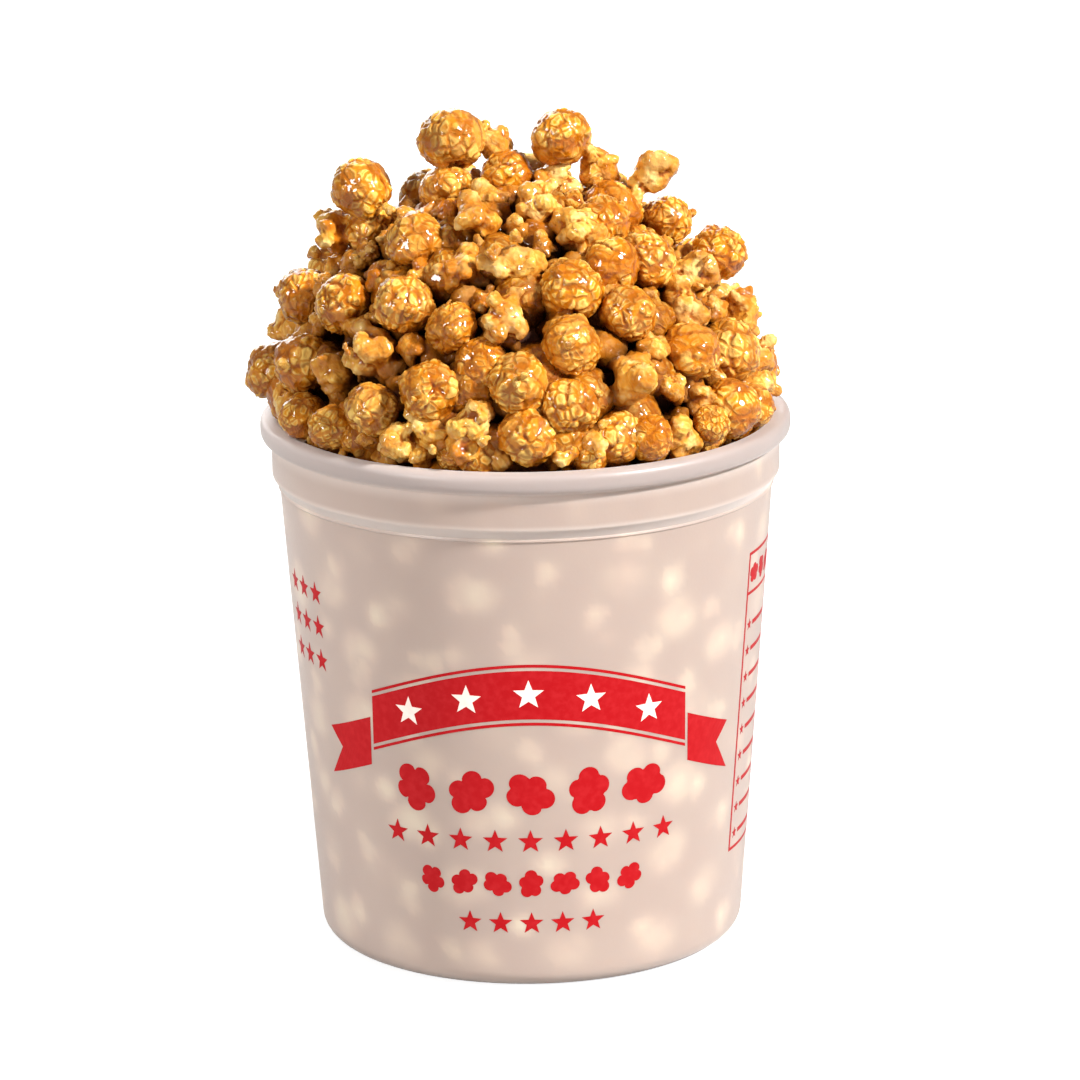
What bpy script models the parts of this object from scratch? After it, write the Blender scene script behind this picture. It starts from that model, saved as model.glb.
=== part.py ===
"""One-gallon frosted plastic tub heaped with caramel popcorn.

Two solids: the moulded tub, and the popcorn, which is one lumpy mass from the floor of the tub to the
top of the mound. Metres, +Z up. The origin is the centre of the tub's foot, on the surface it stands on.
"""

import math
import random

import bmesh
import bpy
import numpy as np
from mathutils import Euler, Matrix, Vector, noise

# Tub
TUB_SEGMENTS = 48
FLOOR_THICKNESS = 0.0016
CORNER_RADIUS = 0.0067
WALL_BOTTOM_RADIUS = 0.0767
WALL_TOP_RADIUS = 0.0884
WALL_THICKNESS = 0.0011
COLLAR_BOTTOM = 0.1667
COLLAR_RADIUS = 0.0911
COLLAR_SHOULDER = 0.0056
COLLAR_EDGE = 0.0015
COLLAR_INNER_STEP = 0.0006
LIP_RADIUS = 0.0950
LIP_TOP = 0.1925
LIP_SECTION = 0.0038
LIP_CURL = (125, -62)
LIP_ARC_STEPS = 5
CORNER_ARC_STEPS = 3

# Popcorn mound
POPCORN_GAP = 0.0007
FLOOR_ROUNDING = 0.0040
FLOOR_ROUNDING_HEIGHT = 0.0100
MOUND_RADIUS = 0.0965
MOUND_RISE = 0.0960
MOUND_BLUNTNESS = 1.8
MOUND_LEAN = -0.0060

# Kernels: how many lie on the mound and against the wall, and the range of diameters of each kind
MOUND_KERNELS = 97
WALL_KERNELS = 150
GAP_CRUMBS = 5
GAP_TRIES = 400
BALL_SIZES = (0.0215, 0.0255)
FLAKE_SIZES = (0.0190, 0.0230)
CRUMB_SIZES = (0.0110, 0.0145)
FLAKE_SHARE = 0.30
DEEPEST_SINK = 0.0045
CRUMB_SINK = 0.0060
LAYOUT_SEED = 11
SETTLE_ROUNDS = 120
PUSH_SHARE = 0.4
SPREADING = 1.20
SNUGNESS = 0.96

# Where the camera stood when the heap was photographed, worked out from the lip, the collar and the foot
EYE = (0.0047, -1.8533, 0.6491)
SIGHT_REACH = 0.110
SIGHT_STEPS = 441

# Kernels that show in the photo: kind, where it is seen in the upright plane through the tub's axis (right of
# the axis and above the foot), diameter, and how far it lies behind the mound's front; all in millimetres
LANDMARKS = {
    "crown_left": ("ball", -25, 291, 25.0, 0),
    "crown_right": ("ball", 14, 291, 22.5, 0),
    "crown_middle": ("ball", -5, 278, 20.0, 0),
    "crown_back_left": ("flake", -9, 289, 15.5, 5),
    "crown_back_right": ("flake", 26, 282, 18.0, 6),
    "crown_under_right": ("flake", 12, 275, 19.5, 4),
    "shoulder_left": ("ball", -57, 274, 22.5, 0),
    "shoulder_right": ("flake", 46, 277, 21.0, 0),
    "high_left": ("ball", -27, 273, 20.5, 2),
    "high_middle": ("flake", 7, 267, 19.0, 0),
    "high_right": ("ball", 32, 265, 22.5, 0),
    "high_far_right": ("ball", 51, 261, 19.5, 6),
    "high_edge_right": ("ball", 70, 249, 20.5, -7),
    "high_edge_left": ("flake", -65, 258, 20.0, 4),
    "high_far_left": ("ball", -53, 259, 20.5, 4),
    "high_mid_left": ("ball", -38, 254, 23.0, 0),
    "high_low_middle": ("flake", -17, 261, 19.0, 2),
    "high_mid_right": ("flake", 19, 256, 19.5, 1),
    "upper_edge_left": ("ball", -78, 235, 22.0, 3),
    "upper_left": ("ball", -64, 232, 22.0, 0),
    "upper_mid_left": ("ball", -42, 231, 23.0, 0),
    "upper_hollow": ("flake", -21, 243, 20.0, 3),
    "upper_middle": ("flake", -4, 246, 21.0, 0),
    "upper_mid_right": ("ball", 17, 236, 24.0, 0),
    "upper_right": ("ball", 43, 246, 23.0, 0),
    "upper_far_right": ("flake", 59, 241, 21.0, 0),
    "upper_edge_right": ("flake", 76, 228, 21.5, 0),
    "middle_edge_left": ("ball", -90, 208, 22.0, 2),
    "middle_far_left": ("ball", -78, 210, 24.0, 0),
    "middle_left": ("flake", -54, 215, 23.0, 0),
    "middle_hollow": ("ball", -26, 222, 20.0, 3),
    "middle_bud": ("flake", -6, 225, 20.0, 1),
    "middle_centre": ("ball", 17, 215, 23.0, 0),
    "middle_right": ("ball", 37, 227, 22.0, 1),
    "middle_far_right": ("ball", 59, 213, 23.0, 0),
    "middle_edge_right": ("flake", 81, 211, 22.0, 0),
    "lower_left": ("ball", -55, 193, 21.0, 1),
    "lower_mid_left": ("ball", -34, 200, 23.0, 0),
    "lower_deep": ("ball", -16, 209, 20.5, 6),
    "lower_centre": ("ball", -2, 202, 24.0, 0),
    "lower_mid_right": ("ball", 16, 193, 21.5, 1),
    "lower_right": ("flake", 38, 204, 23.0, 0),
    "rim_far_left": ("flake", -82, 193, 19.0, -26),
    "rim_left": ("ball", -68, 185, 23.0, 0),
    "rim_mid_left": ("flake", -46, 178, 18.5, 0),
    "rim_bud_left": ("flake", -34, 185, 18.0, 3),
    "rim_middle": ("flake", -18, 189, 19.0, 1),
    "rim_pale": ("flake", -10, 176, 20.5, 0),
    "rim_mid_right": ("flake", 13, 175, 18.0, 1),
    "rim_right": ("ball", 32, 181, 23.0, 0),
    "rim_far_right": ("flake", 53, 184, 22.5, 0),
    "rim_edge_right": ("ball", 75, 188, 22.5, -35),
    "rim_back_right": ("flake", 82, 198, 18.0, 12),
}

# Solid form of the popcorn
CORE_SINK = 0.0140
CORE_SEGMENTS = 34
FLOOR_RINGS = 2
WALL_RINGS = 16
DOME_RINGS = 8
FILL_SINK = 0.0070
LOWEST_WALL_RING = 0.0062
BALL_LUMPS = 0.12
FLAKE_LUMPS = 0.16
LUMPS_PER_RADIUS = 1.6
LOBES_PER_FLAKE = 3
LOBE_SHARE = (0.58, 0.68)
BALL_SIDES = 6
BALL_RINGS = 5


def clear_scene():
    for item in list(bpy.data.objects):
        bpy.data.objects.remove(item, do_unlink=True)


def material(name, colour, roughness, metallic=0.0, transmission=0.0):
    made = bpy.data.materials.new(name)
    made.use_nodes = True
    shader = made.node_tree.nodes["Principled BSDF"]
    shader.inputs["Base Color"].default_value = (*colour, 1.0)
    shader.inputs["Roughness"].default_value = roughness
    shader.inputs["Metallic"].default_value = metallic
    shader.inputs["Transmission Weight"].default_value = transmission
    made.diffuse_color = (*colour, 1.0)
    return made


def new_object(name, mesh, finish=None):
    made = bpy.data.objects.new(name, mesh)
    bpy.context.scene.collection.objects.link(made)
    if finish:
        mesh.materials.append(finish)
    return made


def arc(centre, radius, start, end, steps):
    """Points (r, z) of an arc, from start to end in degrees; 0 points away from the axis, 90 up."""
    turns = [math.radians(start + (end - start) * i / steps) for i in range(steps + 1)]
    return [(centre[0] + radius * math.cos(a), centre[1] + radius * math.sin(a)) for a in turns]


# Tub

def wall_radius(height):
    """Outer radius of the tapered wall at a height."""
    share = (height - CORNER_RADIUS) / (COLLAR_BOTTOM - CORNER_RADIUS)
    return WALL_BOTTOM_RADIUS + (WALL_TOP_RADIUS - WALL_BOTTOM_RADIUS) * share


def tub_profile():
    """The tub's closed section (r, z): down the outside from the lip, under the foot, and up the inside."""
    lip_centre = (LIP_RADIUS - LIP_SECTION, LIP_TOP - LIP_SECTION)
    collar_inside = COLLAR_RADIUS - WALL_THICKNESS
    collar_edge = (COLLAR_RADIUS - COLLAR_EDGE, COLLAR_BOTTOM + COLLAR_SHOULDER + COLLAR_EDGE / 2)
    corner_centre = (WALL_BOTTOM_RADIUS - CORNER_RADIUS, CORNER_RADIUS)
    slope = math.hypot(COLLAR_BOTTOM - CORNER_RADIUS, WALL_TOP_RADIUS - WALL_BOTTOM_RADIUS)
    inset = WALL_THICKNESS * slope / (COLLAR_BOTTOM - CORNER_RADIUS)
    outside = arc(lip_centre, LIP_SECTION, *LIP_CURL, LIP_ARC_STEPS)
    outside += [(COLLAR_RADIUS, LIP_TOP - 1.9 * LIP_SECTION)]
    outside += arc(collar_edge, COLLAR_EDGE, 0, -50, 2)
    outside += [(WALL_TOP_RADIUS, COLLAR_BOTTOM)]
    outside += arc(corner_centre, CORNER_RADIUS, -4, -90, CORNER_ARC_STEPS)
    outside += [(0.0, 0.0)]
    inside = [(0.0, FLOOR_THICKNESS), (corner_centre[0], FLOOR_THICKNESS)]
    inside += arc(corner_centre, CORNER_RADIUS - WALL_THICKNESS, -55, -4, CORNER_ARC_STEPS - 1)
    inside += [(WALL_TOP_RADIUS - inset, COLLAR_BOTTOM + COLLAR_INNER_STEP)]
    inside += [(collar_inside, collar_edge[1]), (collar_inside, LIP_TOP - LIP_SECTION)]
    return outside + inside


def make_tub(finish):
    """Spins the section about the axis into one closed, moulded wall."""
    shape = bmesh.new()
    corners = [shape.verts.new((r, 0.0, z)) for r, z in tub_profile()]
    edges = [shape.edges.new((a, b)) for a, b in zip(corners, corners[1:])]
    edges.append(shape.edges.new((corners[-1], corners[0])))
    bmesh.ops.spin(
        shape, geom=corners + edges, cent=(0, 0, 0), axis=(0, 0, 1),
        angle=2 * math.pi, steps=TUB_SEGMENTS, use_merge=True,
    )
    bmesh.ops.remove_doubles(shape, verts=shape.verts, dist=1e-6)
    on_axis = [edge for edge in shape.edges if edge.is_wire]
    bmesh.ops.delete(shape, geom=on_axis, context="EDGES")
    bmesh.ops.recalc_face_normals(shape, faces=shape.faces)
    mesh = bpy.data.meshes.new("tub")
    shape.to_mesh(mesh)
    shape.free()
    mesh.shade_smooth()
    mesh.set_sharp_from_angle(angle=math.radians(35))
    return new_object("tub", mesh, finish)


# Where the kernels lie

def fill_radius(height):
    """How far from the axis the popcorn may reach inside the tub, at heights given as an array."""
    wall = wall_radius(np.minimum(height, COLLAR_BOTTOM)) - WALL_THICKNESS - POPCORN_GAP
    rounding = np.clip(1.2 - height / FLOOR_ROUNDING_HEIGHT, 0, 1)
    return wall - FLOOR_ROUNDING * rounding ** 2


def lay_on_surface(centres, radii, sinks):
    """Puts centres where their kernels touch the mound or the wall, each sunk in by its own depth."""
    up = centres[:, 2] - LIP_TOP
    rise = np.clip(up / MOUND_RISE, 0, 1)
    flat = centres[:, :2] - np.stack([MOUND_LEAN * rise, 0 * rise], axis=1)
    out = np.hypot(flat[:, 0], flat[:, 1]) + 1e-9
    inset = radii + sinks
    place = (out / (MOUND_RADIUS - inset)) ** MOUND_BLUNTNESS
    place += (np.maximum(up, 0) / (MOUND_RISE - inset)) ** MOUND_BLUNTNESS
    factor = np.where(up > 0, place ** (-1 / MOUND_BLUNTNESS), (fill_radius(centres[:, 2]) - inset) / out)
    flat *= factor[:, None]
    out *= factor
    height = np.where(up > 0, LIP_TOP + up * factor, centres[:, 2])
    lowest = FLOOR_THICKNESS + POPCORN_GAP + radii
    height = np.maximum(height, lowest)
    beside = out - (LIP_RADIUS - LIP_SECTION)
    above = height - (LIP_TOP - LIP_SECTION)
    away = np.hypot(beside, above)
    push = np.maximum(radii + LIP_SECTION + POPCORN_GAP - away, 0) / away
    flat *= ((out + beside * push) / out)[:, None]
    height += above * push
    rise = np.clip((height - LIP_TOP) / MOUND_RISE, 0, 1)
    centres[:, 0] = flat[:, 0] + MOUND_LEAN * rise
    centres[:, 1] = flat[:, 1]
    centres[:, 2] = height


def spiral(count):
    """Even shares from 0 to 1, and the azimuth of each, a golden angle round from the last."""
    steps = np.arange(count)
    return (steps + 0.5) / count, steps * math.pi * (3 - math.sqrt(5))


def spread(shares, turns, rings, rise):
    """Points (x, y, z) at shares of a rise, at the azimuths and distances from the axis given."""
    return np.stack([rings * np.sin(turns), -rings * np.cos(turns), rise[0] + rise[1] * shares], axis=1)


def spread_on_dome(count, turned):
    shares, turns = spiral(count)
    rings = MOUND_RADIUS * np.sqrt(1 - shares ** 2)
    return spread(shares, turns + turned, rings, (LIP_TOP, MOUND_RISE))


def lay_in_sight():
    """Centres of the landmarks, each on the line of sight to the place where the photo shows it.

    It is the point nearest the eye where the kernel lies within the mound and clear of the lip, or, for one
    that stands out beside the mound, the point in the plane of the axis.
    """
    eye = np.array(EYE)
    centres = []
    for _, across, height, size, behind in LANDMARKS.values():
        seen = np.array([across, 0.0, height]) / 1000
        radius = size / 2000
        toward = (eye - seen) / np.linalg.norm(eye - seen)
        line = seen + toward * np.linspace(SIGHT_REACH, -SIGHT_REACH, SIGHT_STEPS)[:, None]
        up = np.maximum(line[:, 2] - LIP_TOP, 0)
        out = np.hypot(line[:, 0] - MOUND_LEAN * np.minimum(up / MOUND_RISE, 1), line[:, 1])
        place = (out / (MOUND_RADIUS - radius)) ** MOUND_BLUNTNESS
        place += (up / (MOUND_RISE - radius)) ** MOUND_BLUNTNESS
        away = np.hypot(out - (LIP_RADIUS - LIP_SECTION), line[:, 2] - (LIP_TOP - LIP_SECTION))
        fits = (place <= 1) & (away >= radius + LIP_SECTION + POPCORN_GAP)
        nearest = line[np.argmax(fits)] if fits.any() else seen
        centres.append(clear_of_lip(nearest - toward * behind / 1000, radius))
    return np.array(centres)


def clear_of_lip(centre, radius):
    """Moves a centre straight away from the lip's rolled section until the kernel no longer meets it."""
    out = math.hypot(centre[0], centre[1])
    beside, above = out - (LIP_RADIUS - LIP_SECTION), centre[2] - (LIP_TOP - LIP_SECTION)
    away = math.hypot(beside, above)
    push = max(radius + LIP_SECTION + POPCORN_GAP - away, 0) / away
    share = (out + beside * push) / out
    return np.array([centre[0] * share, centre[1] * share, centre[2] + above * push])


def settle(centres, radii, sinks, fixed):
    """Spreads the kernels round after round until they just meet. The first ones, the landmarks, stay put."""
    landmarks = centres[:fixed].copy()
    touching = radii[:, None] + radii[None, :]
    for closeness in np.linspace(SPREADING, SNUGNESS, SETTLE_ROUNDS):
        apart = centres[:, None, :] - centres[None, :, :]
        gap = np.sqrt((apart ** 2).sum(axis=2)) + 1e-9
        push = np.maximum(touching * closeness - gap, 0) / gap
        np.fill_diagonal(push, 0)
        centres += PUSH_SHARE * (apart * push[:, :, None]).sum(axis=1)
        lay_on_surface(centres, radii, sinks)
        centres[:fixed] = landmarks


def widest_gaps(centres, radii, draws):
    """Places for crumbs: where a small kernel on the mound has most room among the large ones."""
    size = sum(CRUMB_SIZES) / 4
    for _ in range(GAP_CRUMBS):
        tries = spread_on_dome(GAP_TRIES, draws.uniform(0, math.pi))
        lay_on_surface(tries, np.full(GAP_TRIES, size), np.full(GAP_TRIES, CRUMB_SINK))
        room = np.linalg.norm(tries[:, None, :] - centres[None, :, :], axis=2) - radii
        centres = np.vstack([centres, tries[np.argmax(room.min(axis=1))]])
        radii = np.append(radii, draws.uniform(*CRUMB_SIZES) / 2)
    return centres, radii


def kernel_layout():
    """Kind, centre, radius and turn of every kernel near the surface: landmarks, then the rest, then crumbs."""
    draws = random.Random(LAYOUT_SEED)
    kinds = [mark[0] for mark in LANDMARKS.values()]
    fixed = len(kinds)
    radii = [mark[3] / 2000 for mark in LANDMARKS.values()]
    sinks = [0.0] * fixed
    marks = lay_in_sight()
    mound = spread_on_dome(MOUND_KERNELS, 0)
    nearest = np.linalg.norm(mound[:, None, :] - marks[None, :, :], axis=2).min(axis=1)
    mound = mound[np.argsort(-nearest)[:MOUND_KERNELS - fixed]]
    wall = spread(*spiral(WALL_KERNELS), WALL_BOTTOM_RADIUS, (0, LIP_TOP))
    centres = np.vstack([marks, mound, wall])
    for _ in range(len(centres) - fixed):
        kinds.append("flake" if draws.random() < FLAKE_SHARE else "ball")
        sizes = FLAKE_SIZES if kinds[-1] == "flake" else BALL_SIZES
        radii.append(draws.uniform(*sizes) / 2)
        sinks.append(DEEPEST_SINK * draws.random() ** 2)
    radii, sinks = np.array(radii), np.array(sinks)
    settle(centres, radii, sinks, fixed)
    centres, radii = widest_gaps(centres, radii, draws)
    kinds += ["crumb"] * GAP_CRUMBS
    turns = [[draws.uniform(0, 2 * math.pi) for _ in range(3)] for _ in kinds]
    return list(zip(kinds, centres, radii, turns))


# Popcorn solid

def fill_relief(azimuth, height, kernels):
    """Distance from the axis to the popcorn behind the wall: the nearest kernel's crown, or the gap's floor."""
    direction = np.array([math.sin(azimuth), -math.cos(azimuth)])
    side = np.array([math.cos(azimuth), math.sin(azimuth)])
    best = fill_radius(height) - FILL_SINK
    for _, centre, radius, _ in kernels:
        up = height - centre[2]
        across = float(centre[:2] @ side)
        room = radius ** 2 - up ** 2 - across ** 2
        if room > 0:
            best = max(best, float(centre[:2] @ direction) + math.sqrt(room))
    return min(best, float(fill_radius(height)))


def make_core(kernels):
    """A globe whose rings are laid along the popcorn's section: across the floor, up the wall, over the dome."""
    floor = FLOOR_THICKNESS + POPCORN_GAP
    below_dome = FLOOR_RINGS + WALL_RINGS
    rings = below_dome + DOME_RINGS
    wall_top = LIP_TOP - LIP_SECTION
    dome_radius = MOUND_RADIUS - CORE_SINK
    buried = [k for k in kernels if k[1][2] < LIP_TOP]
    shape = bmesh.new()
    bmesh.ops.create_uvsphere(shape, u_segments=CORE_SEGMENTS, v_segments=rings, radius=1.0)
    for vert in shape.verts:
        ring = round(rings * (1 - math.acos(max(-1, min(1, vert.co.z))) / math.pi))
        azimuth = math.atan2(vert.co.x, -vert.co.y)
        if ring <= FLOOR_RINGS:
            out, up = (WALL_BOTTOM_RADIUS - CORNER_RADIUS) * ring / FLOOR_RINGS, floor
        elif ring < below_dome:
            share = (ring - FLOOR_RINGS) / WALL_RINGS
            up = LOWEST_WALL_RING + (wall_top - LOWEST_WALL_RING) * share
            out = fill_relief(azimuth, up, buried)
        else:
            turn = math.pi / 2 * (ring - below_dome) / DOME_RINGS
            across, along = max(0.0, math.cos(turn)), math.sin(turn)
            blunt = (across ** MOUND_BLUNTNESS + along ** MOUND_BLUNTNESS) ** (-1 / MOUND_BLUNTNESS)
            out = dome_radius * across * blunt
            up = wall_top + (LIP_TOP + MOUND_RISE - CORE_SINK - wall_top) * along * blunt
        lean = MOUND_LEAN * max(0.0, up - LIP_TOP) / MOUND_RISE
        out = 0.0 if ring in (0, rings) else out
        vert.co = (out * math.sin(azimuth) + lean, -out * math.cos(azimuth), up)
    mesh = bpy.data.meshes.new("popcorn")
    shape.to_mesh(mesh)
    shape.free()
    return mesh


def lumpy_ball(shape, centre, radius, lumps, verts, seed):
    """Turns new verts on a unit sphere into a ball whose surface swells and sinks by a share of its radius."""
    for vert in verts:
        swell = noise.noise(vert.co * LUMPS_PER_RADIUS + Vector((seed, 2 * seed, 0.5)))
        vert.co = centre + vert.co * radius * (1 + lumps * swell)


def kernel_shape(kind, radius, seed):
    """One kernel about the origin: a round ball, a flake of several lobes, or a crumb."""
    shape = bmesh.new()
    draws = random.Random(seed)
    if kind == "ball":
        made = bmesh.ops.create_uvsphere(shape, u_segments=BALL_SIDES, v_segments=BALL_RINGS, radius=1.0)
        lumpy_ball(shape, Vector(), radius, BALL_LUMPS, made["verts"], seed)
    lobes = {"ball": 0, "flake": LOBES_PER_FLAKE, "crumb": 1}[kind]
    for lobe in range(lobes):
        turn = 2 * math.pi * (lobe + draws.uniform(-0.2, 0.2)) / lobes
        size = radius * (draws.uniform(*LOBE_SHARE) if lobes > 1 else 1.0)
        reach = radius - size
        place = Vector((reach * math.cos(turn), reach * math.sin(turn), draws.uniform(-0.5, 0.5) * reach))
        made = bmesh.ops.create_icosphere(shape, subdivisions=1, radius=1.0)
        lumpy_ball(shape, place, size, FLAKE_LUMPS, made["verts"], seed + lobe)
    mesh = bpy.data.meshes.new(kind)
    shape.to_mesh(mesh)
    shape.free()
    return mesh


def keep_outer_body(mesh):
    """Keeps the largest closed body, which fills sealed hollows and drops loose scraps."""
    shape = bmesh.new()
    shape.from_mesh(mesh)
    left, bodies = set(shape.verts), []
    while left:
        group, edge = set(), [left.pop()]
        while edge:
            vert = edge.pop()
            group.add(vert)
            for link in vert.link_edges:
                other = link.other_vert(vert)
                if other in left:
                    left.remove(other)
                    edge.append(other)
        bodies.append(group)
    bodies.sort(key=len)
    spare = [vert for group in bodies[:-1] for vert in group]
    bmesh.ops.delete(shape, geom=spare, context="VERTS")
    shape.to_mesh(mesh)
    shape.free()


def make_popcorn(finish):
    """The popcorn: a core from the tub's floor to inside the mound, with the kernels that show fused on."""
    kernels = kernel_layout()
    popcorn = new_object("popcorn", make_core(kernels), finish)
    pieces = bpy.data.collections.new("kernels")
    bpy.context.scene.collection.children.link(pieces)
    for number, (kind, centre, radius, turn) in enumerate(kernels):
        if centre[2] < LIP_TOP:
            continue
        piece = bpy.data.objects.new(f"kernel_{number}", kernel_shape(kind, radius, number))
        piece.matrix_world = Matrix.Translation(Vector(centre)) @ Euler(turn).to_matrix().to_4x4()
        pieces.objects.link(piece)
    union = popcorn.modifiers.new("kernels", "BOOLEAN")
    union.operation = "UNION"
    union.operand_type = "COLLECTION"
    union.collection = pieces
    bpy.context.view_layer.objects.active = popcorn
    bpy.ops.object.modifier_apply(modifier=union.name)
    for piece in list(pieces.objects):
        bpy.data.objects.remove(piece, do_unlink=True)
    bpy.data.collections.remove(pieces)
    keep_outer_body(popcorn.data)
    return popcorn


def main():
    clear_scene()
    make_tub(material("frosted_plastic", (0.86, 0.80, 0.76), 0.35, transmission=0.5))
    make_popcorn(material("caramel_popcorn", (0.72, 0.40, 0.12), 0.30))


main()
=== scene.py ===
import math
import random

import bpy
import numpy as np
from mathutils import Euler, Matrix, Vector
from mathutils.bvhtree import BVHTree


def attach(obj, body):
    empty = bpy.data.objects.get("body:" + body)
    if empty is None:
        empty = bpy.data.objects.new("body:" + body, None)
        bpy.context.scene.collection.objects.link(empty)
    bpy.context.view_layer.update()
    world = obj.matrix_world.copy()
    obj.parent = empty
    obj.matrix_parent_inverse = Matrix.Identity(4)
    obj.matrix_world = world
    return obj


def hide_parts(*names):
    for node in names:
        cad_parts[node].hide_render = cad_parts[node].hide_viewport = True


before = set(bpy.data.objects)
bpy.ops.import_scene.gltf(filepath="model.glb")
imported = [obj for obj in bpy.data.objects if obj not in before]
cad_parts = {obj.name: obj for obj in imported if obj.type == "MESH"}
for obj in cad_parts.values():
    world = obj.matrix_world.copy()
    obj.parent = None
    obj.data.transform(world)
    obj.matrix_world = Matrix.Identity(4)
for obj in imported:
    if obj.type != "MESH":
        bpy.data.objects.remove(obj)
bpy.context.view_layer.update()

scene = bpy.context.scene


# small helpers

def deselectAll():
    if bpy.context.mode != "OBJECT":
        bpy.ops.object.mode_set(mode="OBJECT")
    bpy.ops.object.select_all(action="DESELECT")


def makeActive(piece):
    deselectAll()
    piece.select_set(True)
    bpy.context.view_layer.objects.active = piece


def finishPiece(piece, name, material):
    makeActive(piece)
    bpy.ops.object.transform_apply(location=True, rotation=True, scale=True)
    piece.name = name
    piece.data.name = name
    piece.data.materials.clear()
    piece.data.materials.append(material)
    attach(piece, "root")
    print(name, "made,", sum(len(face.vertices) - 2 for face in piece.data.polygons), "triangles")


def applyModifiers(piece):
    makeActive(piece)
    for modifier in list(piece.modifiers):
        bpy.ops.object.modifier_apply(modifier=modifier.name)


def readPoints(piece):
    points = np.empty(len(piece.data.vertices) * 3)
    piece.data.vertices.foreach_get("co", points)
    return points.reshape(-1, 3)


def writePoints(piece, points):
    piece.data.vertices.foreach_set("co", np.ascontiguousarray(points).ravel())
    piece.data.update()


def storeMark(piece, name, values):
    mark = piece.data.attributes.new(name, "FLOAT", "POINT")
    mark.data.foreach_set("value", values)


def joinPieces(pieces):
    deselectAll()
    for piece in pieces:
        piece.select_set(True)
    bpy.context.view_layer.objects.active = pieces[0]
    bpy.ops.object.join()
    return bpy.context.object


def arcPoints(centre, radius, start, end, steps):    # degrees: 0 points away from the axis, 90 up
    turns = [math.radians(start + (end - start) * i / steps) for i in range(steps + 1)]
    return [(centre[0] + radius * math.cos(a), centre[1] + radius * math.sin(a)) for a in turns]


def pullRings(stations, segments):    # a closed turned shape: a disc, pulled out ring by ring, then filled
    deselectAll()
    radius, height = stations[0]
    bpy.ops.mesh.primitive_circle_add(vertices=segments, radius=radius, fill_type="TRIFAN",
                                      location=(0, 0, height))
    piece = bpy.context.object
    bpy.ops.object.mode_set(mode="EDIT")
    bpy.ops.mesh.select_all(action="SELECT")
    bpy.ops.mesh.region_to_loop()
    for nextRadius, nextHeight in stations[1:]:
        move = {"value": (0, 0, nextHeight - height)}
        bpy.ops.mesh.extrude_region_move(TRANSFORM_OT_translate=move)
        share = nextRadius / radius
        bpy.ops.transform.resize(value=(share, share, 1), center_override=(0, 0, nextHeight))
        radius, height = nextRadius, nextHeight
    bpy.ops.mesh.edge_face_add()
    bpy.ops.mesh.poke()
    bpy.ops.mesh.select_all(action="SELECT")
    bpy.ops.mesh.normals_make_consistent(inside=False)
    bpy.ops.object.mode_set(mode="OBJECT")
    bpy.ops.object.transform_apply(location=True, rotation=True, scale=True)
    return piece


# camera: where the photograph was taken from, worked out from the lip, the collar and the foot

camera = {
    "eye": (0.0047, -1.8533, 0.6491),
    "pitchDown": 15.25,
    "roll": -0.755,
    "lens": 177.46,
}


def makeCamera():
    pitch = math.radians(camera["pitchDown"])
    forward = Vector((0, math.cos(pitch), -math.sin(pitch)))
    right = Vector((1, 0, 0))
    turned = Matrix((right, right.cross(forward), -forward)).transposed()
    turned = turned @ Matrix.Rotation(math.radians(camera["roll"]), 3, "Z")
    bpy.ops.object.camera_add(location=camera["eye"], rotation=turned.to_euler())
    scene.camera = bpy.context.object
    scene.camera.data.lens = camera["lens"]
    scene.camera.data.sensor_width = 36
    scene.camera.data.clip_end = 20


makeCamera()
print("camera set")


# studio: a white floor under a pale sky, a soft key light from the right, weaker ones from the left, from
# above and from behind, and a wide one that falls on the tub alone

studio = {
    "skyStrength": 0.20,
    "floorColour": (0.34, 0.34, 0.34),
    "floorGlow": 0.87,
    "floorSize": 14.0,
    "key": {"from": (0.98, -0.52, 0.85), "softness": 8, "strength": 6.4},
    "top": {"from": (-0.35, -0.10, 1.00), "softness": 14, "strength": 0.15},
    "back": {"from": (-0.25, 1.00, 0.32), "softness": 40, "strength": 1.3},
    "wall": {"from": (-1.00, -0.30, 0.30), "softness": 130, "strength": 3.0},
    "fill": {"from": (-0.90, -0.85, 0.45), "softness": 14, "strength": 1.35},
}


def makeLight(name, settings):
    heading = Vector(settings["from"])
    turn = heading.to_track_quat("Z", "Y").to_euler()
    bpy.ops.object.light_add(type="SUN", location=heading * 2, rotation=turn)
    light = bpy.context.object
    light.name = name
    light.data.energy = settings["strength"]
    light.data.angle = math.radians(settings["softness"])
    return light


def lightWall(pieces):    # the wide light is for the tub alone, whose real wall passes light on
    lit = bpy.data.collections.new("litWall")
    for piece in pieces:
        lit.objects.link(piece)
    makeLight("wallLight", studio["wall"]).light_linking.receiver_collection = lit


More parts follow.
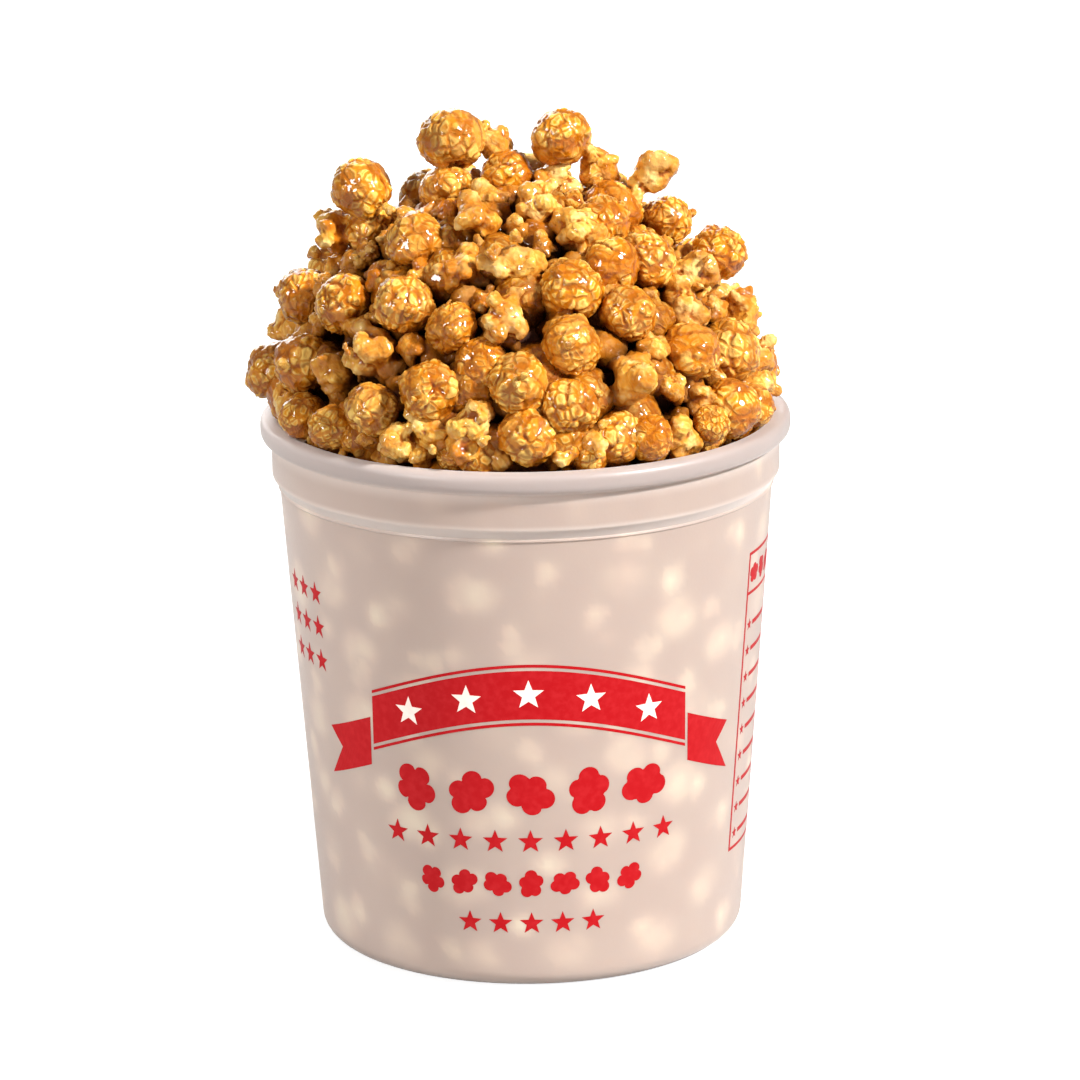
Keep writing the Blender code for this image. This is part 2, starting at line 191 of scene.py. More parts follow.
def makeStudio():
    world = bpy.data.worlds.new("paleSky")
    world.use_nodes = True
    background = world.node_tree.nodes["Background"]
    background.inputs["Color"].default_value = (1, 1, 1, 1)
    background.inputs["Strength"].default_value = studio["skyStrength"]
    scene.world = world
    deselectAll()
    bpy.ops.mesh.primitive_plane_add(size=studio["floorSize"], location=(0, 0, 0))
    floor = bpy.context.object
    floor.name = "floor"
    paint = bpy.data.materials.new("floorPaint")
    paint.use_nodes = True
    shader = paint.node_tree.nodes["Principled BSDF"]
    shader.inputs["Base Color"].default_value = (*studio["floorColour"], 1)
    shader.inputs["Roughness"].default_value = 0.9
    shader.inputs["Emission Color"].default_value = (1, 1, 1, 1)
    seen = paint.node_tree.nodes.new("ShaderNodeLightPath").outputs["Is Camera Ray"]
    glow = paint.node_tree.nodes.new("ShaderNodeMath")
    glow.operation = "MULTIPLY"
    glow.inputs[1].default_value = studio["floorGlow"]
    paint.node_tree.links.new(seen, glow.inputs[0])
    paint.node_tree.links.new(glow.outputs[0], shader.inputs["Emission Strength"])
    floor.data.materials.append(paint)
    for name in ("key", "top", "fill", "back"):
        makeLight(name + "Light", studio[name])
    scene.view_settings.view_transform = "Standard"


makeStudio()
print("studio lit")


# shader helpers

def newMaterial(name):
    material = bpy.data.materials.new(name)
    material.use_nodes = True
    tree = material.node_tree
    return material, tree, tree.nodes["Principled BSDF"]


def addNode(tree, kind, values=None, **settings):
    node = tree.nodes.new(kind)
    for name, value in settings.items():
        setattr(node, name, value)
    for socket, value in (values or {}).items():
        if isinstance(value, bpy.types.NodeSocket):
            tree.links.new(value, node.inputs[socket])
        else:
            node.inputs[socket].default_value = value
    return node


def mathNode(tree, operation, first, second=0.0, clamp=False):
    node = addNode(tree, "ShaderNodeMath", {0: first, 1: second}, operation=operation, use_clamp=clamp)
    return node.outputs[0]


def times(tree, first, second):
    return mathNode(tree, "MULTIPLY", first, second)


def plus(tree, first, second, clamp=False):
    return mathNode(tree, "ADD", first, second, clamp)


def minus(tree, first, second):
    return mathNode(tree, "SUBTRACT", first, second)


def vectorNode(tree, operation, values):
    return addNode(tree, "ShaderNodeVectorMath", values, operation=operation).outputs


def smoothRange(tree, value, low, high, outLow=0.0, outHigh=1.0):
    values = {0: value, 1: low, 2: high, 3: outLow, 4: outHigh}
    return addNode(tree, "ShaderNodeMapRange", values, interpolation_type="SMOOTHSTEP").outputs[0]


def noiseNode(tree, place, scale, detail):
    values = {"Vector": place, "Scale": scale, "Detail": detail}
    return addNode(tree, "ShaderNodeTexNoise", values).outputs["Fac"]


def readMark(tree, name):
    return addNode(tree, "ShaderNodeAttribute", attribute_name=name).outputs["Fac"]


def addBump(tree, shader, height, strength, distance):
    bump = addNode(tree, "ShaderNodeBump", {"Height": height, "Strength": strength, "Distance": distance})
    tree.links.new(bump.outputs["Normal"], shader.inputs["Normal"])


def mixColour(tree, share, first, second):
    node = addNode(tree, "ShaderNodeMix", {0: share}, data_type="RGBA")
    for socket, value in ((6, first), (7, second)):
        if isinstance(value, bpy.types.NodeSocket):
            tree.links.new(value, node.inputs[socket])
        else:
            node.inputs[socket].default_value = (*value, 1)
    return node.outputs[2]


# crackle: the plates, the long splits and the glaze of a kernel, one pattern for its shape and its finish

crackle = {
    "platesPerRadius": 2.75,
    "plateGroove": (0.01, 0.17),
    "plateRim": (0.10, 0.18, 0.20, 0.36),
    "splitsPerRadius": 1.7,
    "splitStretch": (1.0, 1.0, 0.13),
    "splitGroove": (0.03, 0.15),
    "wander": 0.34,
    "wanderPerRadius": 1.9,
    "glazePerRadius": 0.95,
    "glazed": (0.44, 0.58),
}


def cellEdges(tree, place, scale):
    values = {"Vector": place, "Scale": scale, "Randomness": 1.0}
    return addNode(tree, "ShaderNodeTexVoronoi", values, feature="DISTANCE_TO_EDGE").outputs["Distance"]


def cracklePattern(tree, place):
    values = {"Vector": place, "Scale": crackle["wanderPerRadius"], "Detail": 2.5}
    wobble = addNode(tree, "ShaderNodeTexNoise", values).outputs["Color"]
    wobble = vectorNode(tree, "SUBTRACT", {0: wobble, 1: (0.5, 0.5, 0.5)})[0]
    wobble = vectorNode(tree, "SCALE", {0: wobble, "Scale": crackle["wander"]})[0]
    bent = vectorNode(tree, "ADD", {0: place, 1: wobble})[0]
    plates = cellEdges(tree, bent, crackle["platesPerRadius"])
    groove = smoothRange(tree, plates, *crackle["plateGroove"], 1.0, 0.0)
    rimStart, rimFull, rimLeave, rimEnd = crackle["plateRim"]
    rim = smoothRange(tree, plates, rimStart, rimFull)
    rim = times(tree, rim, smoothRange(tree, plates, rimLeave, rimEnd, 1.0, 0.0))
    stretched = vectorNode(tree, "MULTIPLY", {0: bent, 1: crackle["splitStretch"]})[0]
    splits = cellEdges(tree, stretched, crackle["splitsPerRadius"])
    split = smoothRange(tree, splits, *crackle["splitGroove"], 1.0, 0.0)
    glaze = smoothRange(tree, noiseNode(tree, place, crackle["glazePerRadius"], 3.0), *crackle["glazed"])
    return {"Groove": groove, "Rim": rim, "Split": split, "Glaze": glaze}


def makeCrackleGroup(kind):
    tree = bpy.data.node_groups.new("crackle", kind)
    tree.interface.new_socket("Place", in_out="INPUT", socket_type="NodeSocketVector")
    marks = cracklePattern(tree, addNode(tree, "NodeGroupInput").outputs["Place"])
    for name in marks:
        tree.interface.new_socket(name, in_out="OUTPUT", socket_type="NodeSocketFloat")
    addNode(tree, "NodeGroupOutput", marks)
    return tree


finishCrackle = makeCrackleGroup("ShaderNodeTree")
skinCrackle = makeCrackleGroup("GeometryNodeTree")


# popcorn finish: golden puffed corn with pale rims, under caramel that gathers in the splits and hollows, with
# painted shade that turns it amber, then near black, the deeper a point lies in the heap

kernelColours = {
    "cream": (1.00, 0.780, 0.370),
    "pale": (0.97, 0.655, 0.190),
    "gold": (0.78, 0.320, 0.014),
    "groove": (0.50, 0.155, 0.003),
    "amber": (0.50, 0.150, 0.003),
    "caramel": (0.26, 0.056, 0.001),
    # dark is painted shade, for the depths of the heap and the buried copy; amber also serves as painted
    # half-shade there
    "dark": (0.024, 0.003, 0.000),
}


kernelFinish = {
    "rimShare": (0.2, 0.8),    # on a smooth kernel, and how much more on a crackled one
    "grooveUnderGlaze": 0.65,
    "broad": {"perRadius": 1.4, "pale": (0.48, 0.68), "puffed": (0.46, 0.62)},
    "mottle": {"perRadius": 6.0, "pale": (0.5, 0.7)},
    "paleFrom": {"rim": 0.80, "mottle": 0.3, "smooth": 0.40, "tint": 0.45, "everywhere": 0.28},
    "grooved": 0.68,
    "glazeTint": (0.42, 0.55),
    "hollowAmber": 0.90,
    # painted half-shade (amber) and painted deep shade (near black), both growing with a point's depth in the
    # heap
    "paintedHalfShade": (0.0, 0.55, 0.0, 0.85),
    "splitBrown": 0.60,
    "hollowBrown": 0.70,
    "mostBrown": 0.85,
    "paintedDeepShade": (0.15, 1.0, 0.0, 0.92),
    "roughness": (0.50, 0.36),
    "thinCoat": 0.75,
    "coatRoughness": 0.07,
    "coatTint": (1.0, 0.90, 0.66, 1),
    "plateBump": 0.30,
    "finePerRadius": 6.5,
}


def makePopcornFinish(name, shade):
    look = kernelFinish
    material, tree, shader = newMaterial(name)
    rest = addNode(tree, "ShaderNodeAttribute", attribute_name="rest").outputs["Vector"]
    tint, hollow, crackled, shadeDepth = [readMark(tree, mark) for mark in ("tint", "hollow", "crackled", "shadeDepth")]
    marks = addNode(tree, "ShaderNodeGroup", {"Place": rest}, node_tree=finishCrackle).outputs
    glaze = marks["Glaze"]
    smooth = minus(tree, 1.0, crackled)
    bare = minus(tree, 1.0, times(tree, glaze, look["grooveUnderGlaze"]))
    groove = times(tree, times(tree, marks["Groove"], crackled), bare)
    split = times(tree, marks["Split"], crackled)
    least, more = look["rimShare"]
    rim = times(tree, marks["Rim"], plus(tree, times(tree, crackled, more), least))
    broad = noiseNode(tree, rest, look["broad"]["perRadius"], 3.0)
    mottle = noiseNode(tree, rest, look["mottle"]["perRadius"], 4.0)
    shares = look["paleFrom"]
    paleness = plus(tree, times(tree, rim, shares["rim"]), smoothRange(tree, broad, *look["broad"]["pale"]))
    patchy = smoothRange(tree, mottle, *look["mottle"]["pale"])
    paleness = plus(tree, paleness, times(tree, patchy, shares["mottle"]))
    paleness = plus(tree, paleness, times(tree, smooth, shares["smooth"]))
    paleness = minus(tree, paleness, times(tree, tint, shares["tint"]))
    paleness = plus(tree, paleness, shares["everywhere"], clamp=True)
    puffed = times(tree, smoothRange(tree, broad, *look["broad"]["puffed"]), smooth)
    pale = mixColour(tree, puffed, kernelColours["pale"], kernelColours["cream"])
    colour = mixColour(tree, paleness, kernelColours["gold"], pale)
    colour = mixColour(tree, times(tree, groove, look["grooved"]), colour, kernelColours["groove"])
    least, more = look["glazeTint"]
    caramelAndHalfShade = times(tree, glaze, plus(tree, times(tree, tint, more), least))
    caramelAndHalfShade = mathNode(tree, "MAXIMUM", caramelAndHalfShade, times(tree, hollow, look["hollowAmber"]))
    # painted half-shade: amber, the deeper a point lies in the heap
    caramelAndHalfShade = mathNode(tree, "MAXIMUM", caramelAndHalfShade, smoothRange(tree, shadeDepth, *look["paintedHalfShade"]))
    colour = mixColour(tree, caramelAndHalfShade, colour, kernelColours["amber"])
    browned = plus(tree, times(tree, split, look["splitBrown"]), times(tree, hollow, look["hollowBrown"]))
    browned = mathNode(tree, "MINIMUM", browned, look["mostBrown"])
    colour = mixColour(tree, browned, colour, kernelColours["caramel"])
    # painted shade: near black deeper in the heap, and all over by the shade share
    shaded = mathNode(tree, "MAXIMUM", smoothRange(tree, shadeDepth, *look["paintedDeepShade"]), shade)
    colour = mixColour(tree, shaded, colour, kernelColours["dark"])
    tree.links.new(colour, shader.inputs["Base Color"])
    lit = minus(tree, 1.0, shaded)
    sticky = times(tree, plus(tree, glaze, times(tree, groove, 0.6), clamp=True), lit)
    tree.links.new(smoothRange(tree, sticky, 0.0, 1.0, *look["roughness"]), shader.inputs["Roughness"])
    coated = times(tree, lit, look["thinCoat"])
    tree.links.new(smoothRange(tree, sticky, 0.0, 1.0, coated, 1.0), shader.inputs["Coat Weight"])
    shader.inputs["Coat Roughness"].default_value = look["coatRoughness"]
    shader.inputs["Coat IOR"].default_value = 1.50
    shader.inputs["Coat Tint"].default_value = look["coatTint"]
    shader.inputs["Specular IOR Level"].default_value = 0.08
    relief = times(tree, minus(tree, rim, groove), look["plateBump"])
    relief = plus(tree, relief, noiseNode(tree, rest, look["finePerRadius"], 3.0))
    addBump(tree, shader, relief, 0.7, 0.0007)
    return material


popcornFinish = makePopcornFinish("glazedPopcorn", 0.0)
# the buried copy is the same finish with painted shade over all of it, 0.30 of the way to near black
buriedShadedFinish = makePopcornFinish("buriedPopcornPaintedShade", 0.30)
print("popcorn finishes made")


# kernel skin: a Geometry Nodes modifier that swells the plates and keeps what the finish reads

skin = {
    "rimSwell": 0.7,
    "grooveSink": 0.8,
    "splitSink": 1.1,
    "underGlaze": 0.5,
    "blurSteps": 14,
    "hollow": (0.003, 0.034),
}


def keepMark(tree, shape, name, value, kind="FLOAT"):
    values = {"Geometry": shape, "Name": name, "Value": value}
    return addNode(tree, "GeometryNodeStoreNamedAttribute", values, data_type=kind).outputs[0]


def makeSkinGroup():
    tree = bpy.data.node_groups.new("kernelSkin", "GeometryNodeTree")
    tree.is_modifier = True
    sockets = {}
    tree.interface.new_socket("Geometry", in_out="INPUT", socket_type="NodeSocketGeometry")
    inputs = (("Offset", "NodeSocketVector"), ("Crackled", "NodeSocketFloat"), ("Depth", "NodeSocketFloat"))
    for name, kind in inputs:
        sockets[name] = tree.interface.new_socket(name, in_out="INPUT", socket_type=kind).identifier
    tree.interface.new_socket("Geometry", in_out="OUTPUT", socket_type="NodeSocketGeometry")
    entry = addNode(tree, "NodeGroupInput").outputs
    position = addNode(tree, "GeometryNodeInputPosition").outputs[0]
    normal = addNode(tree, "GeometryNodeInputNormal").outputs[0]
    place = vectorNode(tree, "ADD", {0: position, 1: entry["Offset"]})[0]
    kept = keepMark(tree, entry["Geometry"], "rest", place, "FLOAT_VECTOR")
    kept = keepMark(tree, kept, "crackled", entry["Crackled"])
    rest = addNode(tree, "GeometryNodeInputNamedAttribute", {"Name": "rest"}, data_type="FLOAT_VECTOR")
    marks = addNode(tree, "GeometryNodeGroup", {"Place": rest.outputs[0]}, node_tree=skinCrackle).outputs
    relief = times(tree, marks["Rim"], skin["rimSwell"])
    relief = minus(tree, relief, times(tree, marks["Groove"], skin["grooveSink"]))
    relief = minus(tree, relief, times(tree, marks["Split"], skin["splitSink"]))
    relief = times(tree, relief, smoothRange(tree, marks["Glaze"], 0.0, 1.0, 1.0, skin["underGlaze"]))
    relief = times(tree, relief, entry["Depth"])
    swell = vectorNode(tree, "SCALE", {0: normal, "Scale": relief})[0]
    moved = addNode(tree, "GeometryNodeSetPosition", {"Geometry": kept, "Offset": swell}).outputs[0]
    values = {"Value": position, "Iterations": skin["blurSteps"]}
    blurred = addNode(tree, "GeometryNodeBlurAttribute", values, data_type="FLOAT_VECTOR").outputs[0]
    inward = vectorNode(tree, "SUBTRACT", {0: blurred, 1: position})[0]
    inward = vectorNode(tree, "DOT_PRODUCT", {0: inward, 1: normal})["Value"]
    kept = keepMark(tree, moved, "hollow", smoothRange(tree, inward, *skin["hollow"]))
    addNode(tree, "NodeGroupOutput", {0: kept})
    return tree, sockets


skinGroup, skinSockets = makeSkinGroup()


def addSkin(piece, seed, crackled, depth):
    modifier = piece.modifiers.new("skin", "NODES")
    modifier.node_group = skinGroup
    modifier[skinSockets["Offset"]] = (seed * 5.3, seed * 2.9, seed * 3.7)
    modifier[skinSockets["Crackled"]] = crackled
    modifier[skinSockets["Depth"]] = depth
    applyModifiers(piece)


def addLumps(piece, size, strength, seed):
    texture = bpy.data.textures.new("lumps", "CLOUDS")
    texture.noise_scale = size
    texture.noise_depth = 1
    guide = bpy.data.objects.new("lumpPlace", None)
    scene.collection.objects.link(guide)
    guide.location = (seed * 3.1, seed * 1.7, seed * 2.3)
    bpy.context.view_layer.update()
    modifier = piece.modifiers.new("lumps", "DISPLACE")
    modifier.texture = texture
    modifier.texture_coords = "OBJECT"
    modifier.texture_coords_object = guide
    modifier.strength = strength
    modifier.mid_level = 0.5
    applyModifiers(piece)
    bpy.data.objects.remove(guide)
    bpy.data.textures.remove(texture)


# kernels: each kind is modelled at one unit in radius, and copied into the heap afterwards

kernels = {
    "unitShare": 92,    # per cent of a kernel's surface that lies inside its radius
    "round": {
        "kinds": 8, "crackled": 1.0, "depth": 0.034, "stretch": (0.90, 1.06),
        "dents": (0, 2), "dentReach": (0.35, 0.70), "dentDepth": (0.08, 0.30),
        "swellings": (1, 3), "swellingReach": (0.30, 0.60), "swellingRise": (0.06, 0.12),
        "lumps": ((0.75, 0.18, 0), (0.30, 0.05, 40)),    # size, strength, and how far along the seed is
    },
    "lobed": {
        "kinds": 6, "crackled": 0.30, "depth": 0.022, "heart": 0.62, "stretch": (0.8, 1.25),
        "wings": (7, 10), "wingReach": (0.50, 0.66), "wingSize": (0.28, 0.44),
        "lobes": (1, 2), "lobeReach": (0.70, 0.84), "lobeSize": (0.18, 0.29), "lobeAside": 0.26,
        "lumps": ((0.6, 0.14, 0), (0.20, 0.085, 40)),
    },
    "cup": {
        "kinds": 2, "crackled": 0.6, "depth": 0.022, "cutHeight": 0.30, "cutLean": (0.25, 0.1, 1),
        "wall": 0.24, "lumps": (0.9, 0.40, 0), "wallLumps": (0.35, 0.20, 3),
    },
    "bit": {
        "kinds": 3, "crackled": 0.2, "depth": 0.01, "lobes": 3, "lobeReach": 0.5,
        "lobeSize": (0.4, 0.6), "stretch": (0.6, 1.3), "lumps": (0.5, 0.35, 0),
    },
}


def addBall(detail, centre=(0, 0, 0), radius=1.0, stretch=(1, 1, 1)):
    deselectAll()
    bpy.ops.mesh.primitive_ico_sphere_add(subdivisions=detail, radius=radius, location=centre)
    bpy.ops.transform.resize(value=stretch)
    bpy.ops.object.transform_apply(location=True, rotation=True, scale=True)
    return bpy.context.object


def randomHeading(draws):
    rise = draws.uniform(-1, 1)
    turn = draws.uniform(0, 2 * math.pi)
    out = math.sqrt(1 - rise * rise)
    return Vector((out * math.cos(turn), out * math.sin(turn), rise))


def pushSurface(piece, heading, reach, amount):    # a dent, or with a negative amount a swelling
    points = readPoints(piece)
    lengths = np.linalg.norm(points, axis=1)
    away = np.linalg.norm(points / lengths[:, None] - np.array(heading), axis=1)
    share = np.clip(1 - (away / reach) ** 2, 0, 1) ** 2
    writePoints(piece, points * (1 - amount * share)[:, None])


def fuseBalls(balls, voxel, smoothing):
    piece = joinPieces(balls)
    fuse = piece.modifiers.new("fuse", "REMESH")
    fuse.mode = "VOXEL"
    fuse.voxel_size = voxel
    smooth = piece.modifiers.new("smooth", "SMOOTH")
    smooth.iterations = smoothing
    applyModifiers(piece)
    return piece


def finishKernel(piece, seed, look):
    points = readPoints(piece)
    points -= (points.max(0) + points.min(0)) / 2
    points /= np.percentile(np.linalg.norm(points, axis=1), kernels["unitShare"])
    writePoints(piece, points)
    addSkin(piece, seed, look["crackled"], look["depth"])
    makeActive(piece)
    bpy.ops.object.shade_smooth()
    piece.hide_render = True
    return piece


def makeRound(seed, detail):
    look = kernels["round"]
    draws = random.Random(seed)
    piece = addBall(detail, stretch=[draws.uniform(*look["stretch"]) for _ in range(3)])
    for dent in range(draws.randint(*look["dents"])):
        heading, reach = randomHeading(draws), draws.uniform(*look["dentReach"])
        pushSurface(piece, heading, reach, draws.uniform(*look["dentDepth"]))
    for swelling in range(draws.randint(*look["swellings"])):
        heading, reach = randomHeading(draws), draws.uniform(*look["swellingReach"])
        pushSurface(piece, heading, reach, -draws.uniform(*look["swellingRise"]))
    for size, strength, along in look["lumps"]:
        addLumps(piece, size, strength, seed + along)
    return finishKernel(piece, seed, look)


def makeLobed(seed, voxel):
    look = kernels["lobed"]
    draws = random.Random(seed)
    balls = [addBall(3, radius=look["heart"])]
    for wing in range(draws.randint(*look["wings"])):
        heading = randomHeading(draws)
        stretch = [draws.uniform(*look["stretch"]) for _ in range(3)]
        centre = heading * draws.uniform(*look["wingReach"])
        balls.append(addBall(3, centre, draws.uniform(*look["wingSize"]), stretch))
        for lobe in range(draws.randint(*look["lobes"])):
            aside = Vector([draws.uniform(-look["lobeAside"], look["lobeAside"]) for _ in range(3)])
            centre = heading * draws.uniform(*look["lobeReach"]) + aside
            balls.append(addBall(3, centre, draws.uniform(*look["lobeSize"]), stretch))
    piece = fuseBalls(balls, voxel, 2)
    for size, strength, along in look["lumps"]:
        addLumps(piece, size, strength, seed + along)
    return finishKernel(piece, seed, look)


def makeCup(seed, detail):
    look = kernels["cup"]
    piece = addBall(detail)
    size, strength, along = look["lumps"]
    addLumps(piece, size, strength, seed + along)
    makeActive(piece)
    bpy.ops.object.mode_set(mode="EDIT")
    bpy.ops.mesh.select_all(action="SELECT")
    bpy.ops.mesh.bisect(plane_co=(0, 0, look["cutHeight"]), plane_no=look["cutLean"],
                        clear_outer=True, use_fill=False)
    bpy.ops.object.mode_set(mode="OBJECT")
    wall = piece.modifiers.new("wall", "SOLIDIFY")
    wall.thickness = look["wall"]
    wall.offset = -1
    applyModifiers(piece)
    size, strength, along = look["wallLumps"]
    addLumps(piece, size, strength, seed + along)
    smooth = piece.modifiers.new("smooth", "SMOOTH")
    smooth.iterations = 2
    applyModifiers(piece)
    return finishKernel(piece, seed, look)


def makeBit(seed, voxel):
    look = kernels["bit"]
    draws = random.Random(seed)
    balls = []
    for lobe in range(look["lobes"]):
        centre = [draws.uniform(-look["lobeReach"], look["lobeReach"]) for _ in range(3)]
        stretch = [draws.uniform(*look["stretch"]) for _ in range(3)]
        balls.append(addBall(2, centre, draws.uniform(*look["lobeSize"]), stretch))
    piece = fuseBalls(balls, voxel, 1)
    size, strength, along = look["lumps"]
    addLumps(piece, size, strength, seed + along)
    return finishKernel(piece, seed, look)


def makeKinds(make, firstSeed, count, detail):    # detail is the ball's subdivisions, or the size of a voxel
    return [make(firstSeed + number, detail) for number in range(count)]


nearKinds = {
    "round": makeKinds(makeRound, 1, kernels["round"]["kinds"], 5),
    "lobed": makeKinds(makeLobed, 11, kernels["lobed"]["kinds"], 0.085),
    "cup": makeKinds(makeCup, 21, kernels["cup"]["kinds"], 5),
    "bit": makeKinds(makeBit, 31, kernels["bit"]["kinds"], 0.19),
}
farKinds = {"round": makeKinds(makeRound, 1, 3, 4), "lobed": makeKinds(makeLobed, 11, 4, 0.13)}
wallKinds = {"round": makeKinds(makeRound, 1, 3, 3), "lobed": makeKinds(makeLobed, 11, 3, 0.24)}
print("kernels modelled")


# tub: its measures

tub = {
    "segments": 288,
    "wallRings": 76,
    "floorThickness": 0.0016,
    "cornerRadius": 0.0067,
    "wallBottomRadius": 0.0767,
    "wallTopRadius": 0.0884,
    "wallThickness": 0.0011,
    "collarBottom": 0.1667,
    "collarRadius": 0.0911,
    "collarShoulder": 0.0056,
    "collarEdge": 0.0015,
    "collarInnerStep": 0.0006,
    "beadHeight": 0.0007,
    "lipRadius": 0.0950,
    "lipTop": 0.1925,
    "lipSection": 0.0038,
    "lipBluntness": 3.0,
    "lipTurn": (-72, 150),
    "underLip": ((0.0, 0.0030), (0.0003, 0.0008)),    # out from the collar, down from the lip
    "insideLip": ((0.0006, 0.0020), (0.0, 0.0060)),    # in from the collar's inside, down from the lip's middle
    "touchReach": 0.014,
    "touchFade": (0.0015, 0.0040),
    "touchShares": (0.3, 0.2),
}


def wallRadius(height):
    share = (height - tub["cornerRadius"]) / (tub["collarBottom"] - tub["cornerRadius"])
    return tub["wallBottomRadius"] + (tub["wallTopRadius"] - tub["wallBottomRadius"]) * share


# heap: where the kernels lie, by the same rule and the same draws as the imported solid's

heap = {
    "gap": 0.0007,
    "floorRounding": 0.0040,
    "floorRoundingHeight": 0.0100,
    "radius": 0.0965,
    "rise": 0.0960,
    "bluntness": 1.8,
    "lean": -0.0060,
    "moundKernels": 97,
    "wallKernels": 150,
    "crumbs": 5,
    "tries": 400,
    "ballSizes": (0.0215, 0.0255),
    "flakeSizes": (0.0190, 0.0230),
    "crumbSizes": (0.0110, 0.0145),
    "flakeShare": 0.30,
    "deepestSink": 0.0045,
    "crumbSink": 0.0060,
    "seed": 11,
    "rounds": 120,
    "pushShare": 0.4,
    "spreading": 1.20,
    "snugness": 0.96,
    "sightReach": 0.110,
    "sightSteps": 441,
}

# kernels that show in the photo: kind, where it is seen in the upright plane through the tub's axis (right of
# the axis and above the foot), diameter, how far it lies behind the heap's front, all in millimetres, and
# how dark its glaze is
landmarks = {
    "crownLeft": ("ball", -25, 291, 25.0, 0, 0.35),
    "crownRight": ("ball", 14, 291, 22.5, 0, 0.65),
    "crownMiddle": ("ball", -5, 278, 20.0, 0, 0.85),
    "crownBackLeft": ("flake", -9, 289, 15.5, 5, 0.30),
    "crownBackRight": ("flake", 26, 282, 18.0, 6, 0.50),
    "crownUnderRight": ("flake", 12, 275, 19.5, 4, 0.25),
    "shoulderLeft": ("ball", -57, 274, 22.5, 0, 0.45),
    "shoulderRight": ("flake", 46, 277, 21.0, 0, 0.20),
    "highLeft": ("ball", -27, 273, 20.5, 2, 0.05),
    "highMiddle": ("flake", 7, 267, 19.0, 0, 0.15),
    "highRight": ("ball", 32, 265, 22.5, 0, 0.80),
    "highFarRight": ("ball", 51, 261, 19.5, 6, 0.60),
    "highEdgeRight": ("ball", 70, 249, 20.5, -7, 0.80),
    "highEdgeLeft": ("flake", -65, 258, 20.0, 4, 0.70),
    "highFarLeft": ("ball", -53, 259, 20.5, 4, 0.40),
    "highMidLeft": ("ball", -38, 254, 23.0, 0, 0.35),
    "highLowMiddle": ("flake", -17, 261, 19.0, 2, 0.70),
    "highMidRight": ("flake", 19, 256, 19.5, 1, 0.10),
    "upperEdgeLeft": ("ball", -78, 235, 22.0, 3, 0.60),
    "upperLeft": ("ball", -64, 232, 22.0, 0, 0.80),
    "upperMidLeft": ("ball", -42, 231, 23.0, 0, 0.35),
    "upperHollow": ("flake", -21, 243, 20.0, 3, 0.60),
    "upperMiddle": ("flake", -4, 246, 21.0, 0, 0.15),
    "upperMidRight": ("ball", 17, 236, 24.0, 0, 0.75),
    "upperRight": ("ball", 43, 246, 23.0, 0, 0.55),
    "upperFarRight": ("flake", 59, 241, 21.0, 0, 0.40),
    "upperEdgeRight": ("flake", 76, 228, 21.5, 0, 0.50),
    "middleEdgeLeft": ("ball", -90, 208, 22.0, 2, 0.40),
    "middleFarLeft": ("ball", -78, 210, 24.0, 0, 0.75),
    "middleLeft": ("flake", -54, 215, 23.0, 0, 0.40),
    "middleHollow": ("ball", -26, 222, 20.0, 3, 0.50),
    "middleBud": ("flake", -6, 225, 20.0, 1, 0.40),
    "middleCentre": ("ball", 17, 215, 23.0, 0, 0.30),
    "middleRight": ("ball", 37, 227, 22.0, 1, 0.55),
    "middleFarRight": ("ball", 59, 213, 23.0, 0, 0.60),
    "middleEdgeRight": ("flake", 81, 211, 22.0, 0, 0.20),
    "lowerLeft": ("ball", -55, 193, 21.0, 1, 0.15),
    "lowerMidLeft": ("ball", -34, 200, 23.0, 0, 0.55),
    "lowerDeep": ("ball", -16, 209, 20.5, 6, 0.60),
    "lowerCentre": ("ball", -2, 202, 24.0, 0, 0.30),
    "lowerMidRight": ("ball", 16, 193, 21.5, 1, 0.55),
    "lowerRight": ("flake", 38, 204, 23.0, 0, 0.50),
    "rimFarLeft": ("flake", -82, 193, 19.0, -26, 0.50),
    "rimLeft": ("ball", -68, 185, 23.0, 0, 0.50),
    "rimMidLeft": ("flake", -46, 178, 18.5, 0, 0.10),
    "rimBudLeft": ("flake", -34, 185, 18.0, 3, 0.40),
    "rimMiddle": ("flake", -18, 189, 19.0, 1, 0.30),
    "rimPale": ("flake", -10, 176, 20.5, 0, 0.10),
    "rimMidRight": ("flake", 13, 175, 18.0, 1, 0.70),
    "rimRight": ("ball", 32, 181, 23.0, 0, 0.45),
    "rimFarRight": ("flake", 53, 184, 22.5, 0, 0.35),
    "rimEdgeRight": ("ball", 75, 188, 22.5, -35, 0.70),
    "rimBackRight": ("flake", 82, 198, 18.0, 12, 0.30),
}


def fillRadius(height):
    wall = wallRadius(np.minimum(height, tub["collarBottom"])) - tub["wallThickness"] - heap["gap"]
    rounding = np.clip(1.2 - height / heap["floorRoundingHeight"], 0, 1)
    return wall - heap["floorRounding"] * rounding ** 2


